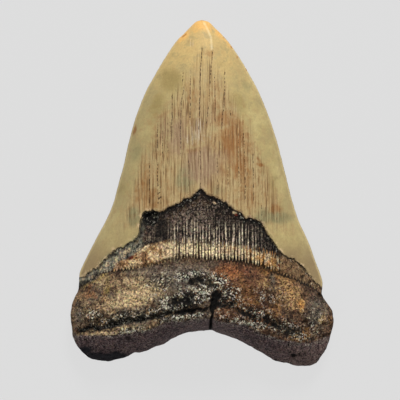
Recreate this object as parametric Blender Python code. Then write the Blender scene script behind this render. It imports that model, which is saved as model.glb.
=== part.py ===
"""A fossil megalodon tooth at its real size, lying on its labial face with the lingual face up.

One solid. It is lofted between the lines that a palaeontologist would name: the basal arch of the
root, the neck, the edge of the enamel and the tip. The lingual face (up) and the labial face (down)
are two grids that share the tooth's rim. Lengths below are in millimetres until the mesh is made.

+X runs across the tooth, +Y from the root to the tip, +Z up, away from the table. The origin is on
the table, under the middle of the tooth's box.
"""

import bmesh
import bpy
import numpy as np

NODE = "megalodon_tooth"
MM = 0.001

# ---- Driving dimensions ------------------------------------------------------------------------
COLUMNS_UP = 58  # across the lingual face; even, because the labial face takes every second one
RIDGE_HEIGHT = 26.5  # thickest point, the torus at the middle of the root
LOBE_HEIGHT = 15.5  # lingual height of the root where a lobe begins to round off
NECK_HEIGHT = 20.5  # lingual height at the middle of the neck
HALF_WIDTH = 47.0  # from the middle line to a lobe's outer side
RIDGE_SPREAD = 0.52  # share of the half width over which the torus falls off to the lobes
BASAL_RUN_ARCH = 6.5  # how far the basal face runs in from the rim, at the arch
BASAL_RUN_LOBE = 11.0  # and at the lobes
SIDE_RUN = 8.0  # the same on the outer side of a lobe
LABIAL_RUN = 7.0  # rounding of the root's rim on the labial face
LINGUAL_SHARPNESS, LABIAL_SHARPNESS = 1.5, 1.9  # a higher one turns the root's rim more tightly
NECK_WAIST, WAIST_RUN = 0.24, 18.0  # share of the root's height lost at the neck, and over how far
NECK_BLEND, LABIAL_BLEND = 4.2, 3.0  # width of the change from root to crown on each face
LINGUAL_DOME, LABIAL_DOME = (2.1, 0.85), (2.4, 0.8)  # exponents of the crown's cross-sections
LABIAL_BAR, LABIAL_SWELL, SWELL_REACH = 1.5, 0.9, 13.0  # height of the root's labial face, and its hump
ENAMEL_STEP = 0.8  # how far the enamel stands above the bourlette
STEP_FADE_FROM, STEP_FADE_RUN = 20.0, 30.0  # Y from which the step merges into the crown, and how slowly
EDGE_MARGIN = 0.12  # share of the half crown next to the cutting edges that the step spares
REST_DIP = 0.45  # how far the three places that touch the table would pass it, before they are flat

# ---- The rim, from the feet of the two lobes to the tip ----------------------------------------
TIP = (0.3, 62.6)
LEFT_ROOT_SIDE = [
    (-41.0, -59.2), (-43.1, -57.3), (-44.9, -55.1), (-46.2, -52.6), (-46.9, -48.9), (-47.3, -44.0),
    (-46.9, -41.3), (-46.5, -39.1), (-45.7, -37.3), (-44.8, -35.7), (-44.5, -33.5),
]  # fmt: skip
LEFT_NECK_SIDE = [(-44.5, -33.5), (-44.4, -32.2), (-44.4, -30.7)]
LEFT_CROWN_SIDE = [
    (-44.4, -30.7), (-44.1, -28.6), (-42.2, -24.3), (-40.0, -19.9), (-37.8, -15.6), (-35.4, -11.2),
    (-33.3, -6.9), (-31.7, -2.5), (-30.2, 3.3), (-28.2, 10.5), (-26.6, 17.8), (-24.7, 25.0),
    (-22.5, 31.5), (-20.1, 37.3), (-16.9, 43.1), (-13.5, 48.9), (-9.0, 55.5), (-6.2, 58.3),
    (-3.9, 60.6), (-2.4, 61.9), (-1.2, 62.5), TIP,
]  # fmt: skip
RIGHT_ROOT_SIDE = [
    (41.6, -61.3), (43.7, -58.4), (45.0, -56.2), (45.9, -54.0), (46.7, -51.1), (47.3, -48.6),
    (47.7, -46.0), (47.3, -43.0), (46.6, -41.3), (45.0, -39.1), (44.0, -37.7), (43.6, -36.5),
]  # fmt: skip
RIGHT_NECK_SIDE = [(43.6, -36.5), (43.6, -35.5), (43.8, -34.3)]
RIGHT_CROWN_SIDE = [
    (43.8, -34.3), (43.9, -32.3), (43.4, -30.1), (42.6, -27.9), (41.2, -24.3), (39.7, -19.9),
    (37.9, -15.6), (35.8, -11.2), (34.2, -6.9), (32.9, -2.5), (31.4, 3.3), (29.6, 10.5),
    (27.7, 17.8), (25.5, 25.0), (23.1, 31.5), (20.6, 37.3), (17.5, 43.1), (14.1, 48.9),
    (9.5, 55.5), (6.8, 58.4), (4.7, 60.4), (3.1, 61.9), (1.8, 62.5), TIP,
]  # fmt: skip
BASAL_ARCH = [
    (-41.0, -59.2), (-39.5, -59.9), (-36.6, -60.4), (-33.7, -60.7), (-30.8, -60.0), (-27.9, -59.3),
    (-25.7, -58.3), (-24.3, -57.5), (-22.1, -57.5), (-19.2, -56.6), (-16.3, -55.3), (-13.4, -54.2),
    (-10.5, -52.5), (-7.6, -51.1), (-4.7, -50.2), (-1.8, -49.8), (1.1, -49.5), (3.4, -49.4),
    (5.8, -50.3), (8.3, -51.1), (12.7, -52.7), (17.8, -55.3), (23.2, -58.5), (26.5, -60.4),
    (29.0, -61.0), (31.2, -61.4), (33.4, -62.2), (36.0, -62.4), (39.2, -62.3), (41.6, -61.3),
]  # fmt: skip

# ---- Lines across the lingual face -------------------------------------------------------------
NECK = [
    (-44.5, -33.5), (-41.1, -31.2), (-37.9, -29.0), (-34.3, -27.8), (-29.5, -27.2), (-18.7, -25.9),
    (-13.2, -24.5), (-7.8, -23.1), (-3.4, -22.8), (1.3, -23.6), (12.1, -24.2), (21.9, -26.6),
    (32.8, -29.8), (38.5, -32.4), (41.8, -34.6), (43.6, -36.5),
]  # fmt: skip
ENAMEL_EDGE = [
    (-44.4, -30.7), (-42.2, -29.5), (-39.7, -27.7), (-37.5, -27.0), (-35.7, -24.8), (-33.6, -22.2),
    (-31.8, -21.0), (-28.1, -19.8), (-23.4, -16.5), (-21.8, -15.0), (-21.6, -12.4), (-21.3, -9.6),
    (-20.5, -7.3), (-18.8, -6.1), (-16.9, -6.0), (-14.8, -6.8), (-13.0, -6.4), (-11.5, -4.9),
    (-6.7, -3.1), (-3.1, -0.7), (-0.2, 1.7), (2.0, -0.1), (6.3, -2.4), (11.4, -5.6), (16.5, -8.7),
    (20.8, -10.5), (22.3, -12.9), (25.2, -16.8), (28.5, -20.8), (33.5, -23.9), (37.2, -27.7),
    (41.5, -32.3), (43.8, -34.3),
]  # fmt: skip

# ---- Lines across the labial face, where the enamel comes down lower ---------------------------
LABIAL_NECK = [
    (-44.5, -33.5), (-38.0, -35.0), (-27.0, -35.6), (-14.0, -33.2), (0.0, -31.6), (14.0, -33.6),
    (27.0, -36.4), (37.5, -37.0), (43.6, -36.5),
]  # fmt: skip
LABIAL_ENAMEL = [
    (-44.4, -30.7), (-38.0, -32.6), (-27.0, -33.4), (-14.0, -31.0), (0.0, -29.4), (14.0, -31.4),
    (27.0, -34.2), (37.5, -34.8), (43.8, -34.3),
]  # fmt: skip

# ---- Heights along the tooth: (Y, height above the table) --------------------------------------
RIM_HEIGHT = [
    (-63.0, 6.6), (-55.0, 7.4), (-46.0, 7.6), (-38.0, 6.4), (-33.0, 4.6), (-20.0, 3.9),
    (0.0, 3.4), (25.0, 3.0), (45.0, 2.6), (58.0, 2.3), (62.5, 2.3),
]  # fmt: skip
LINGUAL_MIDDLE = [
    (-40.0, 18.0), (-24.0, NECK_HEIGHT), (-12.0, 19.8), (0.0, 18.2), (14.0, 15.9), (28.0, 13.2),
    (40.0, 10.9), (50.0, 8.7), (56.0, 7.0), (60.0, 5.3), (61.6, 4.2), (62.3, 3.2), (62.6, 2.3),
]  # fmt: skip
LABIAL_MIDDLE = [
    (-40.0, 0.9), (-30.0, 0.7), (-15.0, 1.5), (5.0, 1.7), (22.0, 1.2), (36.0, 0.35),
    (46.0, -REST_DIP), (54.0, 0.3), (59.0, 0.8), (61.6, 1.4), (62.3, 1.8), (62.6, 2.3),
]  # fmt: skip

# ---- Where the tooth rests, and its damage -----------------------------------------------------
LOBE_REST = [(-27.0, -45.0), (27.5, -46.0)]  # where each lobe's labial side meets the table
LOBE_REST_REACH = 9.0
CRACK_COLUMN = 0.5385  # share of the width at which the crack climbs the middle of the root
CRACK_FLANK = 0.008  # half of its width, as a share of the width
CRACK_TOP_Y, CRACK_END_RUN = -33.0, 3.0  # it ends in the pit below, over this run
CRACK_DEPTH = 2.2
CHIP = ((-18.2, -9.0), 3.1, 1.7)  # a flake of enamel lost: middle, radius, depth
PITS = [
    ((4.9, -36.2), 2.4, 2.6), ((-0.6, -30.4), 2.6, 1.5), ((33.0, -58.5), 1.7, 0.9),
    ((-9.5, -38.5), 2.3, 0.9), ((10.5, -39.5), 2.6, 0.9),
]  # fmt: skip
FURROW_LEFT = [
    (-44.0, -50.2), (-41.0, -48.6), (-35.3, -46.9), (-29.5, -45.5), (-24.1, -46.0), (-18.7, -45.0),
    (-11.4, -42.4), (-4.2, -41.6), (1.3, -39.7),
]  # fmt: skip
FURROW_RIGHT = [(6.5, -39.3), (13.5, -40.0), (20.5, -43.2), (28.5, -46.5), (36.5, -47.5)]
FURROW_WIDTH = 1.5
FURROW_DEPTH_LEFT, FURROW_DEPTH_RIGHT = 1.1, 0.66
NECK_GROOVE_WIDTH, NECK_GROOVE_DEPTH = 1.3, 0.5

LUMP_WAVES = [(27.0, 0.4, 0.6), (17.0, 1.3, 2.2), (11.5, 0.9, 4.0), (8.0, 0.1, 1.2)]
LUMP_HEIGHT = 1.3  # if all the swells crested at one place

# ---- How closely the rows of the loft stand, as shares of each stretch -------------------------
ROOT_ROWS = [
    0.0, 0.02, 0.06, 0.11, 0.16, 0.21, 0.26, 0.31, 0.35, 0.39, 0.43, 0.48, 0.55, 0.63, 0.71,
    0.79, 0.87, 0.94, 0.975,
]  # fmt: skip
NECK_ROWS = [0.0, 0.1, 0.25, 0.4, 0.55, 0.7, 0.85, 0.95]
CROWN_ROWS = [
    0.0, 0.01, 0.035, 0.07, 0.11, 0.155, 0.205, 0.26, 0.315, 0.37, 0.425, 0.48, 0.535, 0.59,
    0.645, 0.70, 0.755, 0.81, 0.86, 0.90, 0.93, 0.955, 0.975,
]  # fmt: skip
DETAIL_FADE = 0.035  # share of the crown over which its rows lose the enamel edge's small steps
EVEN_FROM = 0.4  # share of the crown above which its columns no longer crowd towards the crack
CURVE_SAMPLES = 60  # points that a smooth curve is read at, between two of its own points


def smooth_curve(points):
    """Dense points on a curve that passes through every given one, tangent there to its neighbours'
    chord. The parameter grows with the root of each chord, which keeps it from overshooting."""
    p = np.asarray(points, float)
    knots = np.concatenate([[0.0], np.cumsum(np.linalg.norm(np.diff(p, axis=0), axis=1) ** 0.5)])
    step = np.diff(knots)[:, None]
    slope = np.diff(p, axis=0) / step
    inner = (slope[:-1] * step[1:] + slope[1:] * step[:-1]) / (step[:-1] + step[1:])
    tangent = np.vstack([slope[:1], inner, slope[-1:]])
    t = np.linspace(0.0, 1.0, CURVE_SAMPLES, endpoint=False)[None, :, None]
    start, end = p[:-1, None], p[1:, None]
    leave, arrive = (tangent[:-1] * step)[:, None], (tangent[1:] * step)[:, None]
    body = (
        (2 * t**3 - 3 * t**2 + 1) * start + (t**3 - 2 * t**2 + t) * leave
        + (3 * t**2 - 2 * t**3) * end + (t**3 - t**2) * arrive
    )  # fmt: skip
    return np.vstack([body.reshape(-1, p.shape[1]), p[-1:]])


def at_shares(points, shares):
    """Points of the smooth curve at these shares of its length."""
    curve = smooth_curve(points)
    run = np.concatenate([[0.0], np.cumsum(np.linalg.norm(np.diff(curve, axis=0), axis=1))])
    return np.stack([np.interp(shares, run / run[-1], curve[:, k]) for k in (0, 1)], axis=-1)


def at_widths(points, shares):
    """Points of a curve that runs steadily across, at these shares of its width."""
    curve = smooth_curve(points)
    x = curve[0, 0] + (curve[-1, 0] - curve[0, 0]) * np.asarray(shares)
    return np.stack([x, np.interp(x, curve[:, 0], curve[:, 1])], axis=-1)


def read(knots, at):
    """The smooth curve through (position, value) knots, read at these positions."""
    curve = smooth_curve(knots)
    return np.interp(at, curve[:, 0], curve[:, 1])


def ease(x):
    """0 below 0, 1 above 1, and a smooth rise between."""
    x = np.clip(x, 0.0, 1.0)
    return x * x * (3 - 2 * x)


def distance_to(line, x, y):
    """Distance in plan from each point to a line of straight stretches."""
    apart = np.linalg.norm(np.diff(line, axis=0), axis=1) > 0.0
    a, b = line[:-1][apart], line[1:][apart]
    run = b - a
    offset = np.stack([x, y], axis=-1)[..., None, :] - a
    share = np.clip((offset * run).sum(-1) / (run * run).sum(-1), 0.0, 1.0)
    return np.linalg.norm(offset - share[..., None] * run, axis=-1).min(axis=-1)


def patch(bottom, top, left, right, shares_across, shares_up):
    """Points that fill four joined curves: the sum of the two blends between opposite sides, less
    the blend of the corners."""
    s = np.asarray(shares_across)[None, :, None]
    t = np.asarray(shares_up)[:, None, None]
    across = (1 - s) * left[:, None] + s * right[:, None]
    up = (1 - t) * bottom[None] + t * top[None]
    corners = (1 - t) * ((1 - s) * bottom[0] + s * bottom[-1]) + t * ((1 - s) * top[0] + s * top[-1])
    return across + up - corners


def levelled(arch):
    """The same arch without its small steps: a running mean over neighbouring columns."""
    wide = len(arch) // 9
    padded = np.pad(arch, ((wide, wide), (0, 0)), mode="reflect", reflect_type="odd")
    window = np.hanning(2 * wide + 3)[1:-1]
    return np.stack([np.convolve(padded[:, k], window / window.sum(), "valid") for k in (0, 1)], 1)


def plan_grid(neck, enamel, columns):
    """Rows of (x, y) from the basal arch to just below the tip, for one face of the tooth."""
    base = at_widths(BASAL_ARCH, columns)
    neck_line = at_widths(neck, columns)
    enamel_line = at_shares(enamel, columns)
    root = patch(
        base, neck_line,
        at_shares(LEFT_ROOT_SIDE, ROOT_ROWS), at_shares(RIGHT_ROOT_SIDE, ROOT_ROWS),
        columns, ROOT_ROWS,
    )  # fmt: skip
    band = patch(
        neck_line, enamel_line,
        at_shares(LEFT_NECK_SIDE, NECK_ROWS), at_shares(RIGHT_NECK_SIDE, NECK_ROWS),
        columns, NECK_ROWS,
    )  # fmt: skip
    left, right = at_shares(LEFT_CROWN_SIDE, CROWN_ROWS), at_shares(RIGHT_CROWN_SIDE, CROWN_ROWS)
    t = np.asarray(CROWN_ROWS)[:, None, None]
    chord = np.asarray(columns)[:, None]
    arch = enamel_line - ((1 - chord) * enamel_line[0] + chord * enamel_line[-1])
    hill = levelled(arch)
    even = np.linspace(0.0, 1.0, len(columns))[:, None]
    s = chord + ease(t / EVEN_FROM) * (even - chord)
    crown = (1 - s) * left[:, None] + s * right[:, None]
    crown = crown + (1 - t) ** 2 * hill + np.exp(-t / DETAIL_FADE) * (arch - hill)
    return np.concatenate([root, band, crown])


def crown_share(x, y):
    """0 on the crown's middle line and 1 on its cutting edges, at each height."""
    left, right = smooth_curve(LEFT_CROWN_SIDE), smooth_curve(RIGHT_CROWN_SIDE)
    low, high = np.interp(y, left[:, 1], left[:, 0]), np.interp(y, right[:, 1], right[:, 0])
    return np.clip(np.abs(2 * x - low - high) / np.maximum(high - low, 0.01), 0.0, 1.0)


def root_rim():
    """The rim of the root, from notch to notch by way of the arch."""
    return np.vstack(
        [
            smooth_curve(LEFT_ROOT_SIDE)[::-20],
            smooth_curve(BASAL_ARCH)[::20],
            smooth_curve(RIGHT_ROOT_SIDE)[::20],
        ]
    )


def rounding(distance, run, sharpness):
    """0 on the rim, rising steeply and levelling off at the end of the run."""
    return (1 - (1 - np.clip(distance / run, 0.0, 1.0)) ** sharpness) ** 0.8


def lumps(x, y):
    """Gentle, uneven swells of the root's surface: egg-box waves turned to odd angles."""
    swell = np.zeros_like(x)
    for length, angle, phase in LUMP_WAVES:
        along = x * np.cos(angle) + y * np.sin(angle)
        aside = y * np.cos(angle) - x * np.sin(angle)
        turn = 2 * np.pi / length
        swell += length * np.sin(turn * along + phase) * np.cos(0.8 * turn * aside - phase)
    return LUMP_HEIGHT * swell / sum(length for length, _, _ in LUMP_WAVES)


def lingual_height(x, y):
    """Height of the upper face, without its damage."""
    rim = read(RIM_HEIGHT, y)
    edge = crown_share(x, y)
    flatness, fullness = LINGUAL_DOME
    crown = rim + (read(LINGUAL_MIDDLE, y) - rim) * (1 - edge**flatness) ** fullness
    across = np.abs(x) / HALF_WIDTH
    ridge = LOBE_HEIGHT + (RIDGE_HEIGHT - LOBE_HEIGHT) * np.exp(-((across / RIDGE_SPREAD) ** 2))
    from_neck = np.clip((read(NECK, x) - y) / WAIST_RUN, 0.0, 1.0)
    plateau = ridge - NECK_WAIST * ridge * (1 - from_neck) ** 2
    run = BASAL_RUN_ARCH + (BASAL_RUN_LOBE - BASAL_RUN_ARCH) * ease((across - 0.1) / 0.5)
    run = run + (SIDE_RUN - run) * ease((y + 52.0) / 8.0) * ease((across - 0.7) / 0.2)
    share = rounding(distance_to(root_rim(), x, y), run, LINGUAL_SHARPNESS)
    root = rim + (plateau + lumps(x, y) - rim) * share
    on_crown = ease((y - read(NECK, x) + 2.6) / NECK_BLEND)
    return root + (crown - root) * on_crown


def labial_height(x, y):
    """Height of the face that lies on the table: three places are flat on it."""
    rim = read(RIM_HEIGHT, y)
    edge = crown_share(x, y)
    flatness, fullness = LABIAL_DOME
    crown = rim + (read(LABIAL_MIDDLE, y) - rim) * (1 - edge**flatness) ** fullness
    plateau = LABIAL_BAR + LABIAL_SWELL * np.exp(-((x / SWELL_REACH) ** 2))
    for rest_x, rest_y in LOBE_REST:
        away = ((x - rest_x) ** 2 + (y - rest_y) ** 2) / LOBE_REST_REACH**2
        plateau = plateau - (LABIAL_BAR + REST_DIP) * np.exp(-away)
    share = rounding(distance_to(root_rim(), x, y), LABIAL_RUN, LABIAL_SHARPNESS)
    root = rim + (plateau - rim) * share
    on_crown = ease((y - read(LABIAL_NECK, x)) / LABIAL_BLEND + 0.5)
    return np.maximum(root + (crown - root) * on_crown, 0.0)


def loft(up, down):
    """A bmesh of the two faces. They share the rim: both sides, the basal arch and the tip."""
    mesh = bmesh.new()
    rows, last = up.shape[0], up.shape[1] - 1
    upper = [[mesh.verts.new(p * MM) for p in row] for row in up]
    lower = [
        [upper[r][0], *(mesh.verts.new(p * MM) for p in down[r][1:-1]), upper[r][last]]
        for r in range(rows)
    ]
    for r in range(rows - 1):
        for c in range(last):
            mesh.faces.new((upper[r][c], upper[r][c + 1], upper[r + 1][c + 1], upper[r + 1][c]))
    for r in range(1, rows - 1):
        for c in range(last // 2):
            mesh.faces.new((lower[r][c + 1], lower[r][c], lower[r + 1][c], lower[r + 1][c + 1]))
    for c in range(last // 2):
        near, between, far = upper[0][2 * c], upper[0][2 * c + 1], upper[0][2 * c + 2]
        mesh.faces.new((between, near, lower[1][c]))
        mesh.faces.new((between, lower[1][c], lower[1][c + 1]))
        mesh.faces.new((far, between, lower[1][c + 1]))
    tip = mesh.verts.new((TIP[0] * MM, TIP[1] * MM, RIM_HEIGHT[-1][1] * MM))
    for row, turn in ((upper[-1], 1), (lower[-1], -1)):
        for a, b in zip(row[:-1], row[1:]):
            mesh.faces.new((a, b, tip)[::turn])
    for unused in [v for v in mesh.verts if not v.link_faces]:
        mesh.verts.remove(unused)
    return mesh, upper


def damage_depth(x, y, column):
    """How far the upper face is cut back along its normal: the crack, furrows, pits and lost flake."""
    depth = np.zeros_like(x)
    along = ease((CRACK_TOP_Y - y) / CRACK_END_RUN)
    crack = np.clip(1 - np.abs(column - CRACK_COLUMN) / (2 * CRACK_FLANK), 0.0, 1.0)
    depth += CRACK_DEPTH * crack * along
    for line, deepest in ((FURROW_LEFT, FURROW_DEPTH_LEFT), (FURROW_RIGHT, FURROW_DEPTH_RIGHT)):
        away = distance_to(smooth_curve(line)[::15], x, y) / FURROW_WIDTH
        depth = np.maximum(depth, deepest * np.exp(-(away**2)))
    for (pit_x, pit_y), radius, deepest in [*PITS, CHIP]:
        away = np.hypot(x - pit_x, y - pit_y) / radius
        depth = np.maximum(depth, deepest * np.sqrt(np.clip(1 - away**2, 0.0, 1.0)))
    off_neck = np.abs(y - read(NECK, x)) / NECK_GROOVE_WIDTH
    return depth + NECK_GROOVE_DEPTH * np.exp(-(off_neck**2))


def carve(mesh, upper, columns, first_crown_row):
    """Raises the enamel above the bourlette, and cuts the damage into the upper face."""
    mesh.normal_update()
    inner = [(r, c) for r in range(1, len(upper)) for c in range(1, len(columns) - 1)]
    verts = [upper[r][c] for r, c in inner]
    place = np.array([v.co for v in verts]) / MM
    normal = np.array([v.normal for v in verts])
    column = np.array([columns[c] for _, c in inner])
    row = np.array([r for r, _ in inner])
    from_edge = ease((1 - crown_share(*place.T[:2])) / EDGE_MARGIN)
    lift = ENAMEL_STEP * (row > first_crown_row) * from_edge
    lift = lift * (1 - ease((place[:, 1] - STEP_FADE_FROM) / STEP_FADE_RUN))
    moved = place + normal * (lift - damage_depth(place[:, 0], place[:, 1], column))[:, None]
    for v, point in zip(verts, moved):
        v.co = point * MM


def column_shares():
    """Even shares of the width, with five closer ones on the crack. Their number stays even."""
    flanks = CRACK_COLUMN + CRACK_FLANK * np.arange(-2, 3)
    even = np.linspace(0.0, 1.0, COLUMNS_UP - 3)
    clear = even[np.abs(even - CRACK_COLUMN) > 2.6 * CRACK_FLANK]
    columns = np.sort(np.concatenate([clear, flanks]))
    if len(columns) % 2 == 0:
        widest = np.argmax(np.diff(columns))
        columns = np.insert(columns, widest + 1, columns[widest : widest + 2].mean())
    return columns


def centred(mesh):
    """Moves the mesh so that the middle of its box is over the origin."""
    place = np.array([v.co for v in mesh.verts])
    middle = (place.min(axis=0) + place.max(axis=0)) / 2
    bmesh.ops.translate(mesh, verts=mesh.verts, vec=(-middle[0], -middle[1], 0.0))


def fossil_material():
    """Mineralised tooth: dull olive enamel over dark, porous root, in one mean colour."""
    material = bpy.data.materials.new("fossil_tooth")
    material.use_nodes = True
    shader = material.node_tree.nodes["Principled BSDF"]
    shader.inputs["Base Color"].default_value = (0.27, 0.19, 0.10, 1.0)
    shader.inputs["Roughness"].default_value = 0.55
    shader.inputs["Metallic"].default_value = 0.0
    return material


def build_tooth():
    columns = column_shares()
    up = plan_grid(NECK, ENAMEL_EDGE, columns)
    down = plan_grid(LABIAL_NECK, LABIAL_ENAMEL, columns[::2])
    up = np.dstack([up, lingual_height(up[..., 0], up[..., 1])])
    down = np.dstack([down, labial_height(down[..., 0], down[..., 1])])
    rim = read(RIM_HEIGHT, up[..., 1])
    up[0, :, 2], up[:, 0, 2], up[:, -1, 2] = rim[0], rim[:, 0], rim[:, -1]
    mesh, upper = loft(up, down)
    carve(mesh, upper, columns, len(ROOT_ROWS) + len(NECK_ROWS))
    centred(mesh)
    bmesh.ops.triangulate(mesh, faces=mesh.faces)
    bmesh.ops.recalc_face_normals(mesh, faces=mesh.faces)
    data = bpy.data.meshes.new(NODE)
    mesh.to_mesh(data)
    mesh.free()
    data.shade_smooth()
    data.materials.append(fossil_material())
    tooth = bpy.data.objects.new(NODE, data)
    bpy.context.scene.collection.objects.link(tooth)


def main():
    for obj in list(bpy.data.objects):
        bpy.data.objects.remove(obj)
    build_tooth()


main()
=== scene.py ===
# %% [markdown]
# # A fossil megalodon tooth
#
# The real thing is one piece: a crown of hard enamel with two cutting edges, a dark chevron of thin
# enamel below it (the bourlette), a neck, and a thick root of porous bone-like dentine with two
# lobes. It has lain in sea mud, so each tissue has taken up its own colours. It lies here on its
# flat labial face, with the rounded lingual face up.
#
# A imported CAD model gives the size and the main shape. This script dresses it: it makes the same
# surface again with over twenty times as many faces, cuts the fine relief into it, paints broad
# zones onto its vertices, and lets one procedural material turn those zones into enamel and root.

import bpy
import numpy as np
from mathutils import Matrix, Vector


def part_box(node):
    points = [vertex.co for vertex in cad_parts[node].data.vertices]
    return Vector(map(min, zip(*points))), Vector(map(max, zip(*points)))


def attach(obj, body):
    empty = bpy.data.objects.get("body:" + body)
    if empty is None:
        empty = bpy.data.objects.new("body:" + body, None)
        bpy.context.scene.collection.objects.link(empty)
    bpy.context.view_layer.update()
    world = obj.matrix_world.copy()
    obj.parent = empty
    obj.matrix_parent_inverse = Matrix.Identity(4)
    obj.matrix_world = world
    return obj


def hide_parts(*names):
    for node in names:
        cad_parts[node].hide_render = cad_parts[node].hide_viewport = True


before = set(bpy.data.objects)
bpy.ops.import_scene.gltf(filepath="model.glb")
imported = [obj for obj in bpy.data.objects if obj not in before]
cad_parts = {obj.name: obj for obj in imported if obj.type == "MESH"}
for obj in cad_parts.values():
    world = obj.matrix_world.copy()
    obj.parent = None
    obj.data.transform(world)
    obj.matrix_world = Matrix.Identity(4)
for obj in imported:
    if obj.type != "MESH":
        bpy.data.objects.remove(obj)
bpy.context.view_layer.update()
MM = 0.001
NODE = "megalodon_tooth"
low, high = (np.array(corner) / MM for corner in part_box(NODE))
print("the CAD tooth measures", (high - low).round(1), "mm")

# %% [markdown]
# ## The lines of the tooth
#
# The shape is held by a few lines that can be seen on any tooth: the outline of root and crown, the
# neck, the lower edge of the enamel, and how high the surface stands along the middle. Each one is a
# short list of points, in millimetres, with a smooth curve through them. Points are few on purpose:
# a curve with many points shows every small error in them.

# %% The outline, from the feet of the lobes to the tip
TIP = (0.1, 63.1)
LEFT_ROOT_SIDE = [
    (-41, -59.2), (-43.1, -57.3), (-44.9, -55.1), (-46.2, -52.6), (-46.9, -48.9), (-47.3, -44),
    (-46.9, -41.3), (-46.5, -39.1), (-45.7, -37.3), (-44.8, -35.7), (-44.5, -33.5), (-44.4, -32.2),
    (-44.4, -30.7),
]  # fmt: skip
LEFT_CROWN_SIDE = [
    (-44.4, -30.7), (-44.1, -28.6), (-42.2, -24.3), (-40, -19.9), (-37.8, -15.6), (-35.4, -11.2),
    (-33.3, -6.9), (-31.7, -2.5), (-30.2, 3.3), (-28.2, 10.5), (-26.6, 17.8), (-24.7, 25),
    (-22.5, 31.5), (-20.1, 37.3), (-16.9, 43.1), (-13.5, 48.9), (-9, 55.5), (-6.2, 58.3), (-3.9, 60.7),
    (-2.4, 62.1), (-1.2, 62.9), TIP,
]  # fmt: skip
RIGHT_ROOT_SIDE = [
    (41.6, -61.3), (43.7, -58.4), (45, -56.2), (45.9, -54), (46.7, -51.1), (47.3, -48.6), (47.7, -46),
    (47.3, -43), (46.6, -41.3), (45, -39.1), (44, -37.7), (43.6, -36.5), (43.6, -35.5), (43.8, -34.3),
]  # fmt: skip
RIGHT_CROWN_SIDE = [
    (43.8, -34.3), (43.9, -32.3), (43.4, -30.1), (42.6, -27.9), (41.2, -24.3), (39.7, -19.9),
    (37.9, -15.6), (35.8, -11.2), (34.2, -6.9), (32.9, -2.5), (31.4, 3.3), (29.6, 10.5), (27.7, 17.8),
    (25.5, 25), (23.1, 31.5), (20.6, 37.3), (17.5, 43.1), (14.1, 48.9), (9.5, 55.5), (6.8, 58.4),
    (4.6, 60.5), (3, 62.1), (1.6, 62.8), TIP,
]  # fmt: skip
BASAL_ARCH = [
    (-41, -59.2), (-39.5, -59.9), (-36.6, -60.4), (-33.7, -60.7), (-30.8, -60), (-27.9, -59.3),
    (-25.7, -58.3), (-24.3, -57.5), (-22.1, -57.5), (-19.2, -56.6), (-16.3, -55.3), (-13.4, -54.2),
    (-10.5, -52.5), (-7.6, -51.1), (-4.7, -50.2), (-1.8, -49.8), (1.1, -49.5), (3.4, -49.4),
    (5.8, -50.3), (8.3, -51.1), (12.7, -52.7), (17.8, -55.3), (23.2, -58.5), (26.5, -60.4), (29, -61),
    (31.2, -61.4), (33.4, -62.2), (36, -62.4), (39.2, -62.3), (41.6, -61.3),
]  # fmt: skip
print(len(LEFT_CROWN_SIDE), "points hold the left cutting edge,", len(RIGHT_CROWN_SIDE), "the right one")

# %% Lines across the faces
NECK = [
    (-44.5, -33.5), (-41.1, -31.2), (-37.9, -29), (-34.3, -27.8), (-29.5, -27.2), (-18.7, -25.9),
    (-13.2, -24.5), (-7.8, -23.1), (-3.4, -22.8), (1.3, -23.6), (12.1, -24.2), (21.9, -26.6),
    (32.8, -29.8), (38.5, -32.4), (41.8, -34.6), (43.6, -36.5),
]  # fmt: skip
ENAMEL_EDGE = [
    (-44.4, -30.7), (-42.2, -29.5), (-39.7, -27.7), (-37.5, -27), (-35.7, -24.8), (-33.6, -22.2),
    (-31.8, -21), (-28.1, -19.8), (-23.7, -16.7), (-22.3, -15), (-21.9, -12.4), (-21.4, -9.6),
    (-20.5, -7.3), (-18.8, -6.1), (-16.9, -6), (-14.8, -6.8), (-13, -6.4), (-11.5, -4.9), (-6.7, -3.1),
    (-3.1, -0.7), (-0.2, 1.7), (2, -0.1), (6.3, -2.4), (11.4, -5.6), (16.5, -8.7), (20.8, -10.5),
    (22.3, -12.9), (25.2, -16.8), (28.5, -20.8), (33.5, -23.9), (37.2, -27.7), (41.5, -32.3),
    (43.8, -34.3),
]  # fmt: skip
LABIAL_NECK = [
    (-44.5, -33.5), (-38, -35), (-27, -35.6), (-14, -33.2), (0, -31.6), (14, -33.6), (27, -36.4),
    (37.5, -37), (43.6, -36.5),
]  # fmt: skip
LABIAL_ENAMEL = [
    (-44.4, -30.7), (-38, -32.6), (-27, -33.4), (-14, -31), (0, -29.4), (14, -31.4), (27, -34.2),
    (37.5, -34.8), (43.8, -34.3),
]  # fmt: skip
BASAL_EDGE = [
    (-47.3, -51.5), (-42, -50.9), (-36.8, -50.6), (-32.4, -50.6), (-27.7, -50), (-22.3, -49.5),
    (-16.9, -47.7), (-14, -46.2), (-10.7, -45.5), (-6, -45.4), (-1.6, -44.4), (2, -44), (7.4, -45.5),
    (15, -46.9), (20.5, -49.5), (26.6, -51.7), (32.1, -52.6), (39.3, -53.4), (47.7, -51),
]  # fmt: skip
print("the enamel ends on a line of", len(ENAMEL_EDGE), "points")

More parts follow.
